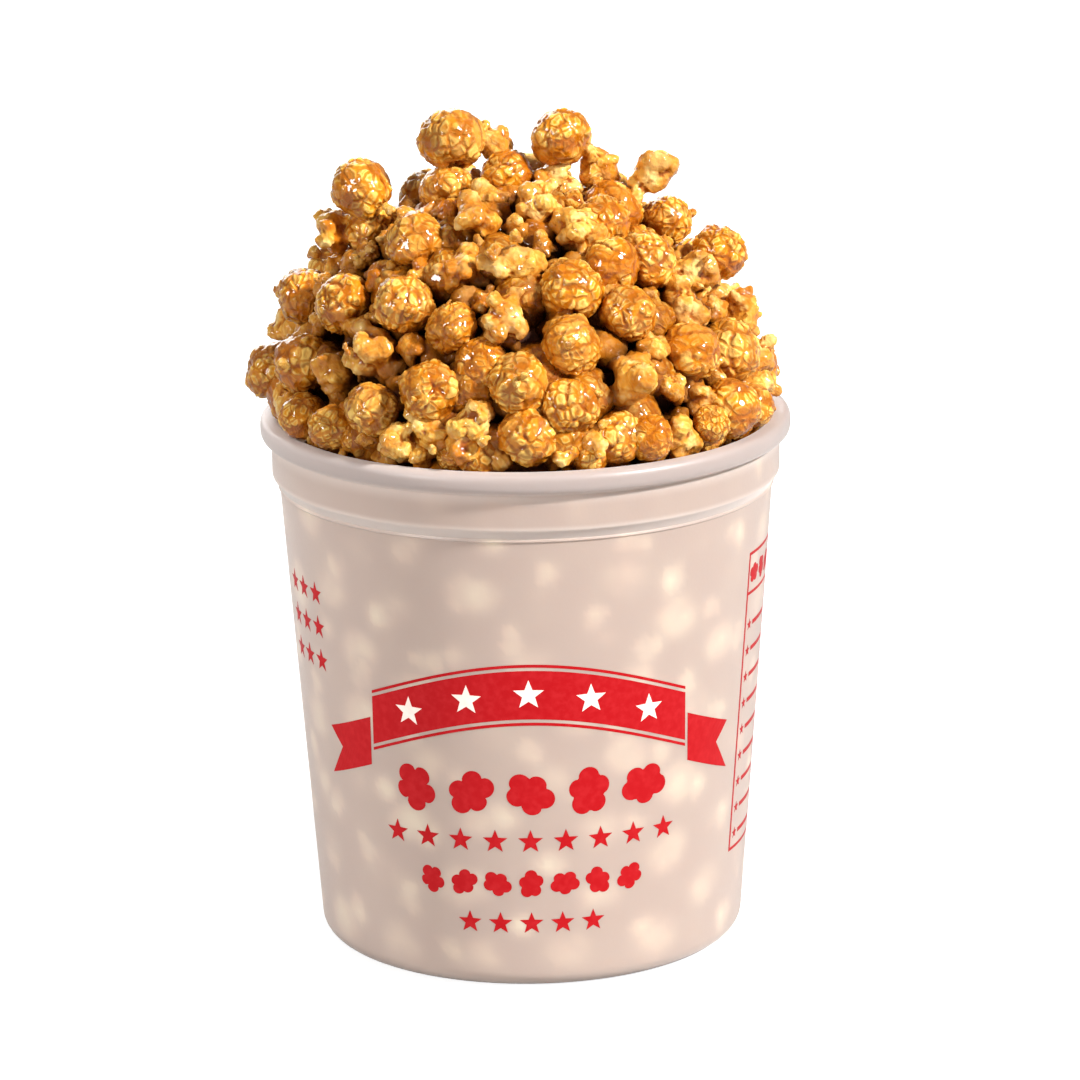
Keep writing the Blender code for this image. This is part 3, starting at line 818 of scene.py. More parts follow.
def layOnSurface(centres, radii, sinks):    # moves centres to where the kernels touch the mound or the wall
    blunt = heap["bluntness"]
    up = centres[:, 2] - tub["lipTop"]
    rise = np.clip(up / heap["rise"], 0, 1)
    flat = centres[:, :2] - np.stack([heap["lean"] * rise, 0 * rise], axis=1)
    out = np.hypot(flat[:, 0], flat[:, 1]) + 1e-9
    inset = radii + sinks
    place = (out / (heap["radius"] - inset)) ** blunt
    place += (np.maximum(up, 0) / (heap["rise"] - inset)) ** blunt
    factor = np.where(up > 0, place ** (-1 / blunt), (fillRadius(centres[:, 2]) - inset) / out)
    flat *= factor[:, None]
    out *= factor
    height = np.where(up > 0, tub["lipTop"] + up * factor, centres[:, 2])
    height = np.maximum(height, tub["floorThickness"] + heap["gap"] + radii)
    beside = out - (tub["lipRadius"] - tub["lipSection"])
    above = height - (tub["lipTop"] - tub["lipSection"])
    away = np.hypot(beside, above)
    push = np.maximum(radii + tub["lipSection"] + heap["gap"] - away, 0) / away
    flat *= ((out + beside * push) / out)[:, None]
    height += above * push
    rise = np.clip((height - tub["lipTop"]) / heap["rise"], 0, 1)
    centres[:, 0] = flat[:, 0] + heap["lean"] * rise
    centres[:, 1] = flat[:, 1]
    centres[:, 2] = height


def spiral(count):    # even shares from 0 to 1, and the azimuth of each, a golden angle round from the last
    steps = np.arange(count)
    return (steps + 0.5) / count, steps * math.pi * (3 - math.sqrt(5))


def spread(shares, turns, rings, rise):
    return np.stack([rings * np.sin(turns), -rings * np.cos(turns), rise[0] + rise[1] * shares], axis=1)


def spreadOnDome(count, turned):
    shares, turns = spiral(count)
    rings = heap["radius"] * np.sqrt(1 - shares ** 2)
    return spread(shares, turns + turned, rings, (tub["lipTop"], heap["rise"]))


def clearOfLip(centre, radius):    # moves a kernel straight away from the lip until the two no longer meet
    out = math.hypot(centre[0], centre[1])
    beside = out - (tub["lipRadius"] - tub["lipSection"])
    above = centre[2] - (tub["lipTop"] - tub["lipSection"])
    away = math.hypot(beside, above)
    push = max(radius + tub["lipSection"] + heap["gap"] - away, 0) / away
    share = (out + beside * push) / out
    return np.array([centre[0] * share, centre[1] * share, centre[2] + above * push])


def layInSight():    # each landmark on its line of sight: as near the eye as the heap and the lip let it lie
    eye = np.array(camera["eye"])
    centres = []
    for kind, across, height, size, behind, tint in landmarks.values():
        seen = np.array([across, 0.0, height]) / 1000
        radius = size / 2000
        toward = (eye - seen) / np.linalg.norm(eye - seen)
        steps = np.linspace(heap["sightReach"], -heap["sightReach"], heap["sightSteps"])
        line = seen + toward * steps[:, None]
        up = np.maximum(line[:, 2] - tub["lipTop"], 0)
        out = np.hypot(line[:, 0] - heap["lean"] * np.minimum(up / heap["rise"], 1), line[:, 1])
        place = (out / (heap["radius"] - radius)) ** heap["bluntness"]
        place += (up / (heap["rise"] - radius)) ** heap["bluntness"]
        lip = (tub["lipRadius"] - tub["lipSection"], tub["lipTop"] - tub["lipSection"])
        away = np.hypot(out - lip[0], line[:, 2] - lip[1])
        fits = (place <= 1) & (away >= radius + tub["lipSection"] + heap["gap"])
        nearest = line[np.argmax(fits)] if fits.any() else seen
        centres.append(clearOfLip(nearest - toward * behind / 1000, radius))
    return np.array(centres)


def settleKernels(centres, radii, sinks, fixed):    # spreads them until they just meet; landmarks stay put
    marks = centres[:fixed].copy()
    touching = radii[:, None] + radii[None, :]
    for closeness in np.linspace(heap["spreading"], heap["snugness"], heap["rounds"]):
        apart = centres[:, None, :] - centres[None, :, :]
        gap = np.sqrt((apart ** 2).sum(axis=2)) + 1e-9
        push = np.maximum(touching * closeness - gap, 0) / gap
        np.fill_diagonal(push, 0)
        centres += heap["pushShare"] * (apart * push[:, :, None]).sum(axis=1)
        layOnSurface(centres, radii, sinks)
        centres[:fixed] = marks


def fillGaps(centres, radii, count, sizes, sink, draws, reach=1.0):    # small ones, where most room is left
    size = sum(sizes) / 4
    for _ in range(count):
        tries = spreadOnDome(heap["tries"], draws.uniform(0, math.pi))[:round(heap["tries"] * reach)]
        layOnSurface(tries, np.full(len(tries), size), np.full(len(tries), sink))
        room = np.linalg.norm(tries[:, None, :] - centres[None, :, :], axis=2) - radii
        centres = np.vstack([centres, tries[np.argmax(room.min(axis=1))]])
        radii = np.append(radii, draws.uniform(*sizes) / 2)
    return centres, radii


def layOutKernels(draws):
    kinds = [mark[0] for mark in landmarks.values()]
    fixed = len(kinds)
    radii = [mark[3] / 2000 for mark in landmarks.values()]
    sinks = [0.0] * fixed
    marks = layInSight()
    mound = spreadOnDome(heap["moundKernels"], 0)
    nearest = np.linalg.norm(mound[:, None, :] - marks[None, :, :], axis=2).min(axis=1)
    mound = mound[np.argsort(-nearest)[:heap["moundKernels"] - fixed]]
    wall = spread(*spiral(heap["wallKernels"]), tub["wallBottomRadius"], (0, tub["lipTop"]))
    centres = np.vstack([marks, mound, wall])
    for _ in range(len(centres) - fixed):
        kinds.append("flake" if draws.random() < heap["flakeShare"] else "ball")
        radii.append(draws.uniform(*heap[kinds[-1] + "Sizes"]) / 2)
        sinks.append(heap["deepestSink"] * draws.random() ** 2)
    radii, sinks = np.array(radii), np.array(sinks)
    settleKernels(centres, radii, sinks, fixed)
    centres, radii = fillGaps(centres, radii, heap["crumbs"], heap["crumbSizes"], heap["crumbSink"], draws)
    kinds += ["crumb"] * heap["crumbs"]
    turns = [[draws.uniform(0, 2 * math.pi) for _ in range(3)] for _ in kinds]
    return kinds, centres, radii, turns


kernelKinds, kernelCentres, kernelRadii, kernelTurns = layOutKernels(random.Random(heap["seed"]))
print(len(kernelKinds), "kernels laid out")


# copies of the kernels, joined into one piece of each kind

def copyKernel(source, centre, radius, turn, tint):
    copy = bpy.data.objects.new("copy", source.data.copy())
    scene.collection.objects.link(copy)
    copy.matrix_world = Matrix.Translation(centre) @ turn.to_matrix().to_4x4() @ Matrix.Scale(radius, 4)
    storeMark(copy, "tint", np.full(len(copy.data.vertices), tint))
    return copy


# painted shade: the finish darkens each point by this depth mark
def markDepth(piece):    # how deep in the heap each point lies, from 0 at its surface to 1, for the finish
    makeActive(piece)
    bpy.ops.object.transform_apply(location=True, rotation=True, scale=True)
    points = readPoints(piece)
    up = np.maximum(points[:, 2] - tub["lipTop"], 0)
    out = np.hypot(points[:, 0] - heap["lean"] * np.minimum(up / heap["rise"], 1), points[:, 1])
    place = (out / heap["radius"]) ** heap["bluntness"] + (up / heap["rise"]) ** heap["bluntness"]
    place = place ** (1 / heap["bluntness"])
    share = np.clip((dressing["deepFrom"] - place) / (dressing["deepFrom"] - dressing["deepest"]), 0, 1)
    inTub = points[:, 2] < tub["lipTop"] - dressing["deepDownTo"]
    storeMark(piece, "shadeDepth", np.where(inTub, 0.0, share ** 2 * (3 - 2 * share)))


def joinKernels(copies, name, material):
    piece = joinPieces(copies)
    markDepth(piece)
    finishPiece(piece, name, material)


dressing = {
    "seed": 5,
    "cupShare": 0.14,
    "tints": (0.10, 0.90),
    "flakeSwell": 1.12,
    # where the painted shade of deep points begins and where it is fullest, by place in the mound; points
    # further below the lip than deepDownTo get none
    "deepFrom": 0.945,
    "deepest": 0.800,
    "deepDownTo": 0.012,
    "wedged": {
        "count": 52, "sizes": (0.0120, 0.0175), "sink": 0.0070, "reach": 1.0,
        "kinds": ("lobed",), "tints": (0.1, 0.9),
    },
    "rim": {
        "count": 16, "sizes": (0.0140, 0.0190), "sink": 0.0010, "reach": 0.09,
        "kinds": ("round", "lobed"), "tints": (0.2, 0.8),
    },
    "nested": {
        "count": 32, "sizes": (0.0100, 0.0150), "sink": 0.0075, "reach": 0.06,
        "kinds": ("round", "lobed"), "tints": (0.2, 0.8),
    },
    "buried": {
        "count": 110, "sizes": (0.0200, 0.0250), "sink": 0.0085, "turned": 1.3,
        "kinds": ("round", "lobed"), "tints": (0.4, 1.0),
    },
    "packed": {"count": 150, "sizes": (0.0110, 0.0160), "margin": 0.012, "turned": 1.1, "tint": 0.2},
    "bits": {
        "count": 70, "sizes": (0.0035, 0.0070), "aboveLip": 0.004, "outward": 0.8,
        "inset": 0.98, "clearance": 0.001, "tints": (0.0, 0.8),
    },
}


def randomTurn(draws):
    return Euler([draws.uniform(0, 2 * math.pi) for _ in range(3)])


def copyOuterKernels(draws):
    names = ("roundKernelsA", "roundKernelsB", "lobedKernelsA", "lobedKernelsB", "wallKernels")
    groups = {name: [] for name in names}
    seenTints = [mark[5] for mark in landmarks.values()]
    for number, kind in enumerate(kernelKinds):
        centre, radius = Vector(kernelCentres[number]), kernelRadii[number]
        turn, tint = Euler(kernelTurns[number]), draws.uniform(*dressing["tints"])
        if number < len(seenTints):
            tint = seenTints[number]
        side = "AB"[number % 2]
        shapes, group = nearKinds["lobed"], "lobedKernels" + side
        if kind != "crumb" and centre.z < tub["lipTop"]:
            shapes, group = wallKinds["round" if kind == "ball" else "lobed"], "wallKernels"
        elif kind == "ball":
            shapes, group = nearKinds["round"], "roundKernels" + side
        elif kind == "flake" and draws.random() < dressing["cupShare"]:
            shapes = nearKinds["cup"]
            outward = Vector((centre.x, centre.y, centre.z - tub["lipTop"]))
            turn = outward.to_track_quat("Z", "Y").to_euler()
        if shapes is nearKinds["lobed"]:
            radius *= dressing["flakeSwell"]
        groups[group].append(copyKernel(draws.choice(shapes), centre, radius, turn, tint))
    return groups


def copyFar(draws, row, centre, radius):
    kind = draws.choice(row["kinds"]) if len(row["kinds"]) > 1 else row["kinds"][0]
    shape = draws.choice(farKinds[kind])
    return copyKernel(shape, Vector(centre), radius, randomTurn(draws), draws.uniform(*row["tints"]))


def wedgeKernels(draws, row):    # smaller ones, where the outer kernels leave most room
    centres, radii = fillGaps(kernelCentres, kernelRadii, row["count"], row["sizes"],
                              row["sink"], draws, row["reach"])
    first = len(kernelKinds)
    return [copyFar(draws, row, centre, radius) for centre, radius in zip(centres[first:], radii[first:])]


def buryKernels(draws, row):    # a second layer, seen in the gaps
    centres = spreadOnDome(row["count"], row["turned"])
    radii = np.array([draws.uniform(*row["sizes"]) / 2 for _ in centres])
    layOnSurface(centres, radii, np.full(len(centres), row["sink"]))
    return [copyFar(draws, row, centre, radius) for centre, radius in zip(centres, radii)]


def packWall(draws, row):    # small ones against the wall, between the larger, seen through the frosting
    copies = []
    for share, turn in zip(*spiral(row["count"])):
        height = row["margin"] + (tub["collarBottom"] + row["margin"]) * share
        radius = draws.uniform(*row["sizes"]) / 2
        out = fillRadius(height) - radius
        turn = turn + row["turned"]
        centre = Vector((out * math.sin(turn), -out * math.cos(turn), height))
        shape = draws.choice(wallKinds["lobed"])
        copies.append(copyKernel(shape, centre, radius, randomTurn(draws), row["tint"]))
    return copies


def stickBits(draws, row):    # broken bits held by the caramel on the outside of kernels
    lowest = tub["lipTop"] + row["aboveLip"]
    outer = [number for number, centre in enumerate(kernelCentres) if centre[2] > lowest]
    copies = []
    while len(copies) < row["count"]:
        number = draws.choice(outer)
        centre, radius = Vector(kernelCentres[number]), kernelRadii[number]
        outward = Vector((centre.x, centre.y, centre.z - tub["lipTop"])).normalized()
        heading = (randomHeading(draws) + outward * row["outward"]).normalized()
        place = centre + heading * radius * row["inset"]
        away = np.linalg.norm(kernelCentres - np.array(place), axis=1) - kernelRadii
        if np.sort(away)[1] < row["clearance"]:
            continue
        size = draws.uniform(*row["sizes"]) / 2
        shape = draws.choice(nearKinds["bit"])
        copies.append(copyKernel(shape, place, size, randomTurn(draws), draws.uniform(*row["tints"])))
    return copies


def dressHeap():
    draws = random.Random(dressing["seed"])
    for name, copies in copyOuterKernels(draws).items():
        joinKernels(copies, name, popcornFinish)
    joinKernels(wedgeKernels(draws, dressing["wedged"]), "wedgedKernels", popcornFinish)
    joinKernels(stickBits(draws, dressing["bits"]), "brokenBits", popcornFinish)
    joinKernels(buryKernels(draws, dressing["buried"]), "buriedKernels", buriedShadedFinish)
    joinKernels(wedgeKernels(draws, dressing["rim"]), "rimKernels", popcornFinish)
    joinKernels(packWall(draws, dressing["packed"]), "packedKernels", popcornFinish)
    joinKernels(wedgeKernels(draws, dressing["nested"]), "nestedKernels", popcornFinish)


dressHeap()


# tub: the turned shape, painted paler where a kernel lies close behind the frosted wall and greyer where none
# does, as painted see-through light and shade, with painted light on the collar's ledge and under the lip

tubColours = {
    # milky is the plastic; cream is painted light of kernels seen through the frosting, gap painted shade where
    # none lies close behind
    "milky": (0.76, 0.565, 0.460),
    "cream": (0.99, 0.800, 0.600),
    "gap": (0.58, 0.440, 0.375),
    "lip": (0.52, 0.43, 0.395),
    # painted light: a paler band along the collar's ledge and over the shade under the lip
    "paintedLight": (0.99, 0.83, 0.74),
}


tubFinish = {
    # clouds, touched and touchShare set the painted see-through light of the kernels behind; apart sets the
    # painted shade where none lies close
    "clouds": {"scale": 78.0, "seen": (0.36, 0.70), "share": 0.25},
    "touched": (0.16, 0.86),
    "touchShare": 0.9,
    "apart": (0.04, 0.30, 0.80, 0.0),
    "lipFade": (-0.0005, 0.0020),    # from the lip's underside
    # painted light: underLip lifts the shade under the lip, and the next two bound a painted paler band on the
    # collar's ledge
    "underLip": (-0.0055, -0.0008, 0.0, 0.5),
    "paintedLightFoot": (0.0008, 0.0022),    # from the collar's lower edge
    "paintedLightTop": (-0.0010, 0.0014, 0.65, 0.0),    # from the top of its shoulder
    "satinScale": 900.0,
    "roughness": (0.34, 0.44),
}


def lipPoints(centre, radius, start, end, steps):    # as arcPoints, with a flatter face and tighter corners
    blunt = tub["lipBluntness"]
    points = []
    for across, up in arcPoints((0, 0), 1, start, end, steps):
        share = radius * (abs(across) ** blunt + abs(up) ** blunt) ** (-1 / blunt)
        points.append((centre[0] + across * share, centre[1] + up * share))
    return points


def tubStations():
    lip = (tub["lipRadius"] - tub["lipSection"], tub["lipTop"] - tub["lipSection"])
    edge = (tub["collarRadius"] - tub["collarEdge"], tub["collarBottom"] + tub["collarShoulder"])
    corner = (tub["wallBottomRadius"] - tub["cornerRadius"], tub["cornerRadius"])
    collarInside = tub["collarRadius"] - tub["wallThickness"]
    bead = tub["beadHeight"]
    wallTop = tub["wallTopRadius"]
    stations = [(corner[0], 0.0)]
    stations += arcPoints(corner, tub["cornerRadius"], -82, -4, 7)
    for height in np.linspace(0.009, tub["collarBottom"] - 0.002, tub["wallRings"]):
        stations += [(wallRadius(height), height)]
    stations += [(wallTop, tub["collarBottom"]), (wallTop + bead, tub["collarBottom"] + bead)]
    stations += [(wallTop + 0.6 * bead, tub["collarBottom"] + 2.2 * bead)]
    stations += arcPoints(edge, tub["collarEdge"], -60, 0, 4)
    for out, down in tub["underLip"]:
        stations += [(tub["collarRadius"] + out, lip[1] - tub["lipSection"] - down)]
    stations += lipPoints(lip, tub["lipSection"], *tub["lipTurn"], 20)
    for inward, down in tub["insideLip"]:
        stations += [(collarInside - inward, lip[1] - down)]
    stations += [(collarInside, edge[1])]
    stations += [(wallTop - tub["wallThickness"], tub["collarBottom"] + tub["collarInnerStep"])]
    stations += arcPoints(corner, tub["cornerRadius"] - tub["wallThickness"], -4, -62, 5)
    stations += [(corner[0], tub["floorThickness"])]
    return stations


# the finish paints see-through light and shade from this mark
def markTouches(piece):    # how close the nearest kernel lies behind each point of the outside, from 0 to 1
    graph = bpy.context.evaluated_depsgraph_get()
    behind = [BVHTree.FromObject(bpy.data.objects[name], graph) for name in ("wallKernels", "packedKernels")]
    near, wide = tub["touchFade"]
    nearShare, wideShare = tub["touchShares"]
    touches = []
    for point in piece.data.vertices:
        place = point.co
        touch = 0.0
        if math.hypot(place.x, place.y) > wallRadius(place.z) - 0.0003:
            inward = Vector((-place.x, -place.y, 0)).normalized()
            straight = [tree.ray_cast(place, inward, tub["touchReach"])[3] for tree in behind]
            nearest = [tree.find_nearest(place, tub["touchReach"])[3] for tree in behind]
            for hits in (straight, nearest):
                away = min(tub["touchReach"] if hit is None else hit for hit in hits)
                depth = max(0.0, away - tub["wallThickness"])
                touch += nearShare * math.exp(-depth / near) + wideShare * math.exp(-depth / wide)
        touches.append(touch)
    storeMark(piece, "touch", touches)


def makeTubFinish():
    look = tubFinish
    material, tree, shader = newMaterial("frostedPlastic")
    place = addNode(tree, "ShaderNodeTexCoord").outputs["Object"]
    height = addNode(tree, "ShaderNodeSeparateXYZ", {0: place}).outputs["Z"]

    def upFrom(level, low, high, outLow=0.0, outHigh=1.0):
        return smoothRange(tree, height, level + low, level + high, outLow, outHigh)

    underLip = tub["lipTop"] - 2 * tub["lipSection"]
    # painted light: a paler band on the collar's ledge, and one over the shade under the lip
    paintedLight = upFrom(tub["collarBottom"], *look["paintedLightFoot"])
    paintedLight = times(tree, paintedLight, upFrom(tub["collarBottom"] + tub["collarShoulder"], *look["paintedLightTop"]))
    paintedLight = plus(tree, paintedLight, upFrom(underLip, *look["underLip"]))
    # painted see-through light: cream where a kernel lies close behind the wall, with noise clouds; painted
    # shade, the gap grey, where none does
    touch = readMark(tree, "touch")
    cloud = smoothRange(tree, noiseNode(tree, place, look["clouds"]["scale"], 0.6), *look["clouds"]["seen"])
    near = times(tree, smoothRange(tree, touch, *look["touched"]), look["touchShare"])
    cloud = plus(tree, near, times(tree, cloud, look["clouds"]["share"]), clamp=True)
    colour = mixColour(tree, cloud, tubColours["milky"], tubColours["cream"])
    colour = mixColour(tree, smoothRange(tree, touch, *look["apart"]), colour, tubColours["gap"])
    colour = mixColour(tree, paintedLight, colour, tubColours["paintedLight"])
    colour = mixColour(tree, upFrom(underLip, *look["lipFade"]), colour, tubColours["lip"])
    tree.links.new(colour, shader.inputs["Base Color"])
    satin = noiseNode(tree, place, look["satinScale"], 2.0)
    tree.links.new(smoothRange(tree, satin, 0.2, 0.8, *look["roughness"]), shader.inputs["Roughness"])
    addBump(tree, shader, satin, 0.25, 0.0001)
    shader.inputs["Transmission Weight"].default_value = 0.35
    shader.inputs["Subsurface Weight"].default_value = 0.40
    shader.inputs["Subsurface Radius"].default_value = (1.0, 0.85, 0.75)
    shader.inputs["Subsurface Scale"].default_value = 0.004
    shader.inputs["Sheen Weight"].default_value = 0.40
    shader.inputs["Sheen Roughness"].default_value = 0.55
    shader.inputs["Sheen Tint"].default_value = (1.0, 0.94, 0.90, 1)
    shader.inputs["IOR"].default_value = 1.45
    return material


def makeTub():
    piece = pullRings(tubStations(), tub["segments"])
    bpy.ops.object.shade_smooth_by_angle(angle=math.radians(35))
    markTouches(piece)
    finishPiece(piece, "frostedTub", makeTubFinish())
    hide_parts("tub")
    return piece


frostedTub = makeTub()


# print: a blank arched ribbon, popped kernels, stars and rules in red ink, drawn flat and wrapped on the wall

ink = {
    "lift": 0.00006,
    "thickness": 0.00008,
    "red": (0.41, 0.004, 0.007),
    "pale": (0.90, 0.72, 0.64),
    "bandHalfLength": 0.060,
    "bandWidth": 0.0180,
    "bandMiddle": 0.096,
    "bandArch": 0.0150,
    "edgeLine": 0.0011,
    "edgeGap": 0.0012,
    "tailLength": 0.024,
    "tailDrop": 0.0075,
    "tailNotch": 0.0070,
    "starRadius": 0.0056,
    "starWaist": 0.42,
    "starPlaces": (-0.044, -0.022, 0, 0.022, 0.044),
    "rows": (    # shape, how many, from where to where, height and radius
        ("puff", 5, -0.042, 0.042, 0.0740, 0.0092),
        ("star", 9, -0.050, 0.050, 0.0560, 0.0046),
        ("puff", 7, -0.036, 0.036, 0.0400, 0.0054),
        ("star", 5, -0.022, 0.022, 0.0250, 0.0044),
    ),
    "panel": {
        "azimuth": 75, "halfWidth": 0.0150, "low": 0.036, "high": 0.148, "line": 0.0011, "head": 0.016,
        "puffStep": 0.009, "puffDown": 0.0085, "puffRadius": 0.0044,
        "rows": 9, "rowUp": 0.006, "rowStep": 0.0098, "starAcross": -0.0105, "starRadius": 0.0022,
        "rule": (-0.007, 0.011), "ruleHalf": 0.0008,
    },
    "corner": {
        "azimuth": -67, "low": 0.112, "step": 0.0125, "rows": 3,
        "across": (-0.010, 0, 0.010), "radius": 0.0044,
    },
}


def bandHeight(across):    # the ribbon's middle line, an arch
    return ink["bandMiddle"] + ink["bandArch"] * np.cos(math.pi / 2 * across / ink["bandHalfLength"])


def flatStrip(left, right, low, high):
    deselectAll()
    columns = max(2, round((right - left) / 0.002))
    rows = max(2, round((high - low) / 0.004))
    bpy.ops.mesh.primitive_grid_add(x_subdivisions=columns, y_subdivisions=rows, size=1,
                                    location=((left + right) / 2, (low + high) / 2, 0))
    bpy.ops.transform.resize(value=(right - left, high - low, 1))
    bpy.ops.object.transform_apply(location=True, rotation=True, scale=True)
    return bpy.context.object


def flatRound(centre, radius, corners, outline):    # outline gives the share of the radius at each corner
    deselectAll()
    bpy.ops.mesh.primitive_circle_add(vertices=corners, radius=1, fill_type="TRIFAN")
    piece = bpy.context.object
    points = readPoints(piece)
    for point in points:
        turn = math.atan2(point[0], point[1])
        point *= outline(turn) if np.hypot(point[0], point[1]) > 0.5 else 1
    writePoints(piece, points * radius + np.array((*centre, 0)))
    bpy.ops.object.mode_set(mode="EDIT")
    bpy.ops.mesh.select_all(action="SELECT")
    bpy.ops.mesh.subdivide(number_cuts=1)
    bpy.ops.object.mode_set(mode="OBJECT")
    return piece


def makeStar(centre, radius):
    def outline(turn):
        return ink["starWaist"] if round(turn / (math.pi / 5)) % 2 else 1.0
    return flatRound(centre, radius, 10, outline)


def makePuff(centre, radius, number):    # a popped kernel drawn as one shape with uneven lobes
    def outline(turn):
        turn += number * 1.9
        return 0.62 + 0.28 * abs(math.sin(2.5 * turn)) ** 0.6 + 0.10 * math.cos(2 * turn + 0.8)
    return flatRound(centre, radius, 60, outline)


def makeBand(left, right, low, high, notch=0.0, drop=0.0):    # a strip that follows the ribbon's arch
    piece = flatStrip(left, right, low, high)
    points = readPoints(piece)
    end = left if abs(left) > abs(right) else right
    middle = 1 - np.abs(points[:, 1] - (low + high) / 2) / ((high - low) / 2)
    near = 1 - np.abs(points[:, 0] - end) / (right - left)
    points[:, 0] -= math.copysign(notch, end) * middle * near
    points[:, 1] += bandHeight(points[:, 0]) - drop
    writePoints(piece, points)
    return piece


def wrapOnWall(piece, azimuth, extraLift=0.0):
    points = readPoints(piece)
    around = wallRadius(points[:, 1])
    turn = points[:, 0] / around + math.radians(azimuth)
    out = around + ink["lift"] + extraLift
    writePoints(piece, np.stack([out * np.sin(turn), -out * np.cos(turn), points[:, 1]], axis=1))


def wrapAll(shapes, azimuth, extraLift=0.0):
    for shape in shapes:
        wrapOnWall(shape, azimuth, extraLift)
    return shapes


def joinPrint(shapes, name, material):
    piece = joinPieces(shapes)
    bpy.ops.object.mode_set(mode="EDIT")
    bpy.ops.mesh.select_all(action="SELECT")
    bpy.ops.mesh.flip_normals()
    bpy.ops.object.mode_set(mode="OBJECT")
    film = piece.modifiers.new("film", "SOLIDIFY")
    film.thickness = ink["thickness"]
    film.offset = 1
    applyModifiers(piece)
    finishPiece(piece, name, material)
    return piece


def makeInk(name, colour):
    material, tree, shader = newMaterial(name)
    place = addNode(tree, "ShaderNodeTexCoord").outputs["Object"]
    grain = noiseNode(tree, place, 420.0, 3.0)
    thin = tuple(min(1.0, channel * 1.10 + 0.006) for channel in colour)
    colour = mixColour(tree, smoothRange(tree, grain, 0.35, 0.75), colour, thin)
    tree.links.new(colour, shader.inputs["Base Color"])
    tree.links.new(smoothRange(tree, grain, 0.3, 0.7, 0.34, 0.46), shader.inputs["Roughness"])
    shader.inputs["Specular IOR Level"].default_value = 0.15
    return material


def drawRibbon():
    half, width = ink["bandHalfLength"], ink["bandWidth"] / 2
    line, gap, tail = ink["edgeLine"], ink["edgeGap"], ink["tailLength"]
    return [
        makeBand(-half, half, -width, width),
        makeBand(-half, half, width + gap, width + gap + line),
        makeBand(-half, half, -width - gap - line, -width - gap),
        makeBand(-half - tail, -half - gap, -width, width, ink["tailNotch"], ink["tailDrop"]),
        makeBand(half + gap, half + tail, -width, width, ink["tailNotch"], ink["tailDrop"]),
    ]


def drawRows():
    shapes = []
    for kind, count, left, right, height, radius in ink["rows"]:
        for number, across in enumerate(np.linspace(left, right, count)):
            centre = (across, height)
            shapes.append(makePuff(centre, radius, number) if kind == "puff" else makeStar(centre, radius))
    return shapes


def drawPanel():
    panel = ink["panel"]
    half, low, high, line = panel["halfWidth"], panel["low"], panel["high"], panel["line"]
    shapes = [flatStrip(-half, -half + line, low, high), flatStrip(half - line, half, low, high)]
    for level in (low, high - panel["head"], high - line):
        shapes.append(flatStrip(-half + line, half - line, level, level + line))
    for place in (-1, 0, 1):
        centre = (panel["puffStep"] * place, high - panel["puffDown"])
        shapes.append(makePuff(centre, panel["puffRadius"], place))
    for row in range(panel["rows"]):
        level = low + panel["rowUp"] + panel["rowStep"] * row
        shapes.append(makeStar((panel["starAcross"], level), panel["starRadius"]))
        shapes.append(flatStrip(*panel["rule"], level - panel["ruleHalf"], level + panel["ruleHalf"]))
    return shapes


def drawCorner():
    corner = ink["corner"]
    heights = [corner["low"] + corner["step"] * row for row in range(corner["rows"])]
    return [makeStar((across, height), corner["radius"]) for height in heights for across in corner["across"]]


def makePrint():
    reds, pales = [], []
    for azimuth in (0, 180):
        reds += wrapAll(drawRibbon() + drawRows(), azimuth)
        stars = [makeStar((across, bandHeight(across)), ink["starRadius"]) for across in ink["starPlaces"]]
        pales += wrapAll(stars, azimuth, ink["thickness"])
    reds += wrapAll(drawPanel(), ink["panel"]["azimuth"])
    reds += wrapAll(drawCorner(), ink["corner"]["azimuth"])
    return [
        joinPrint(reds, "redPrint", makeInk("redInk", ink["red"])),
        joinPrint(pales, "paleStars", makeInk("paleInk", ink["pale"])),
    ]


lightWall([frostedTub, *makePrint()])


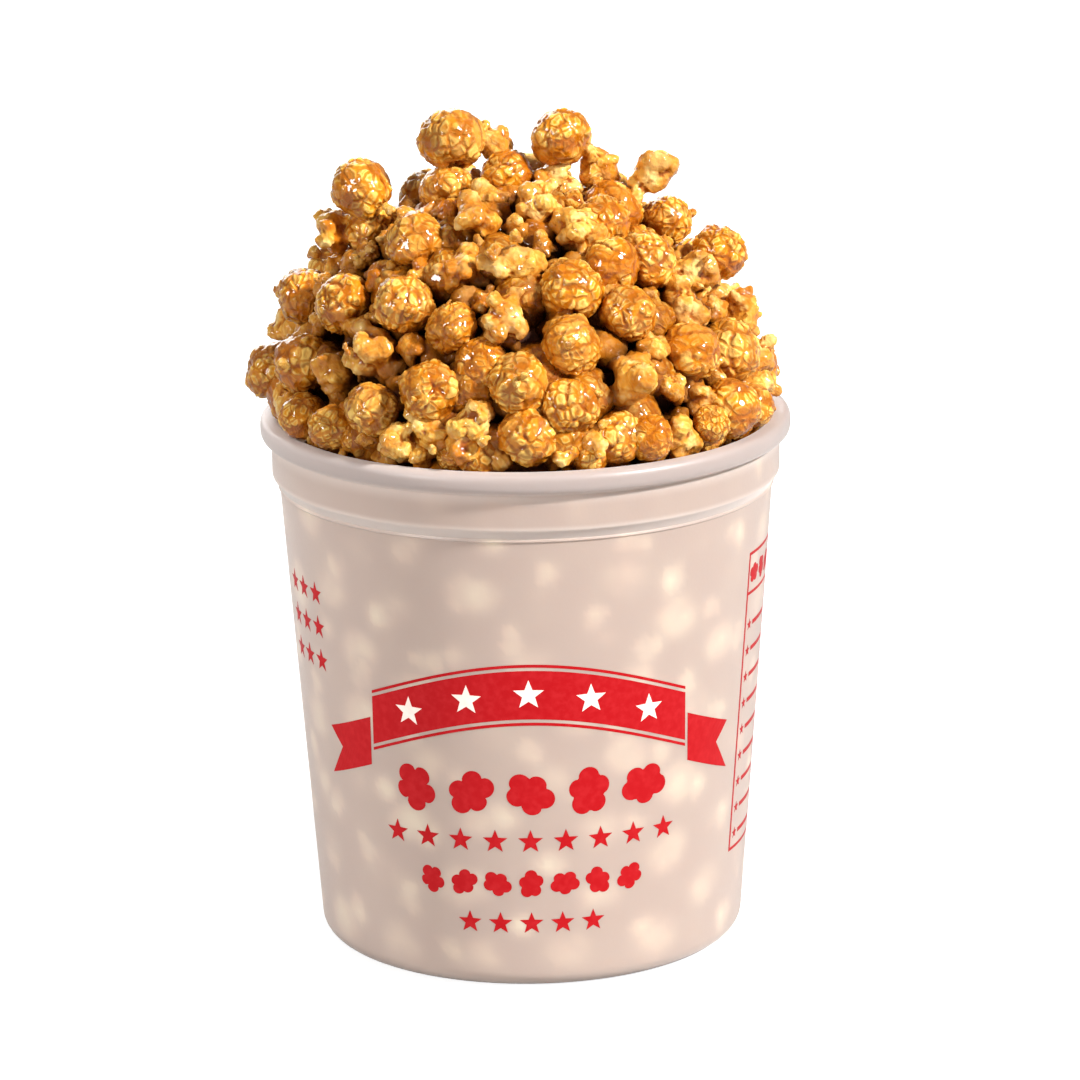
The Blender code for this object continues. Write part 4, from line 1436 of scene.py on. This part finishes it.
# core: painted shade, a dark brown filler between the kernels, well under them, that stands for the depths of
# the heap

core = {
    "moundSink": 0.0230,
    "wallSink": 0.0150,
    "foot": 0.0050,
    "firstRing": 0.02,
    "belowLip": 0.002,
    "segments": 72,
    "rings": 14,
    "lumps": (0.012, 0.0060),
    # dark and brown are painted shade for the depths of the heap
    "dark": (0.07, 0.012, 0.001),
    "brown": (0.20, 0.050, 0.005),
}


def makeCoreFinish():
    material, tree, shader = newMaterial("paintedShadeFiller")
    place = addNode(tree, "ShaderNodeTexCoord").outputs["Object"]
    mottle = noiseNode(tree, place, 160.0, 4.0)
    colour = mixColour(tree, smoothRange(tree, mottle, 0.35, 0.65), core["dark"], core["brown"])
    tree.links.new(colour, shader.inputs["Base Color"])
    tree.links.new(smoothRange(tree, mottle, 0.3, 0.7, 0.75, 0.55), shader.inputs["Roughness"])
    addBump(tree, shader, mottle, 0.6, 0.0020)
    return material


def makeCore():
    wall, sink = core["wallSink"], core["moundSink"]
    bottom = tub["floorThickness"] + core["foot"]
    stations = [(fillRadius(bottom) - wall, bottom)]
    for height in np.linspace(core["firstRing"], tub["lipTop"] - core["belowLip"], core["rings"]):
        stations.append((fillRadius(height) - wall, height))
    for step in range(1, core["rings"]):
        turn = math.pi / 2 * step / core["rings"]
        across, along = math.cos(turn), math.sin(turn)
        blunt = (across ** heap["bluntness"] + along ** heap["bluntness"]) ** (-1 / heap["bluntness"])
        out = (heap["radius"] - sink) * across * blunt
        stations.append((out, tub["lipTop"] + (heap["rise"] - sink) * along * blunt))
    piece = pullRings(stations, core["segments"])
    points = readPoints(piece)
    points[:, 0] += heap["lean"] * np.clip((points[:, 2] - tub["lipTop"]) / heap["rise"], 0, 1)
    writePoints(piece, points)
    addLumps(piece, *core["lumps"], 2)
    bpy.ops.object.shade_smooth()
    finishPiece(piece, "caramelCore", makeCoreFinish())
    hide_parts("popcorn")


makeCore()

for shapes in (*nearKinds.values(), *farKinds.values(), *wallKinds.values()):
    for shape in shapes:
        bpy.data.objects.remove(shape)
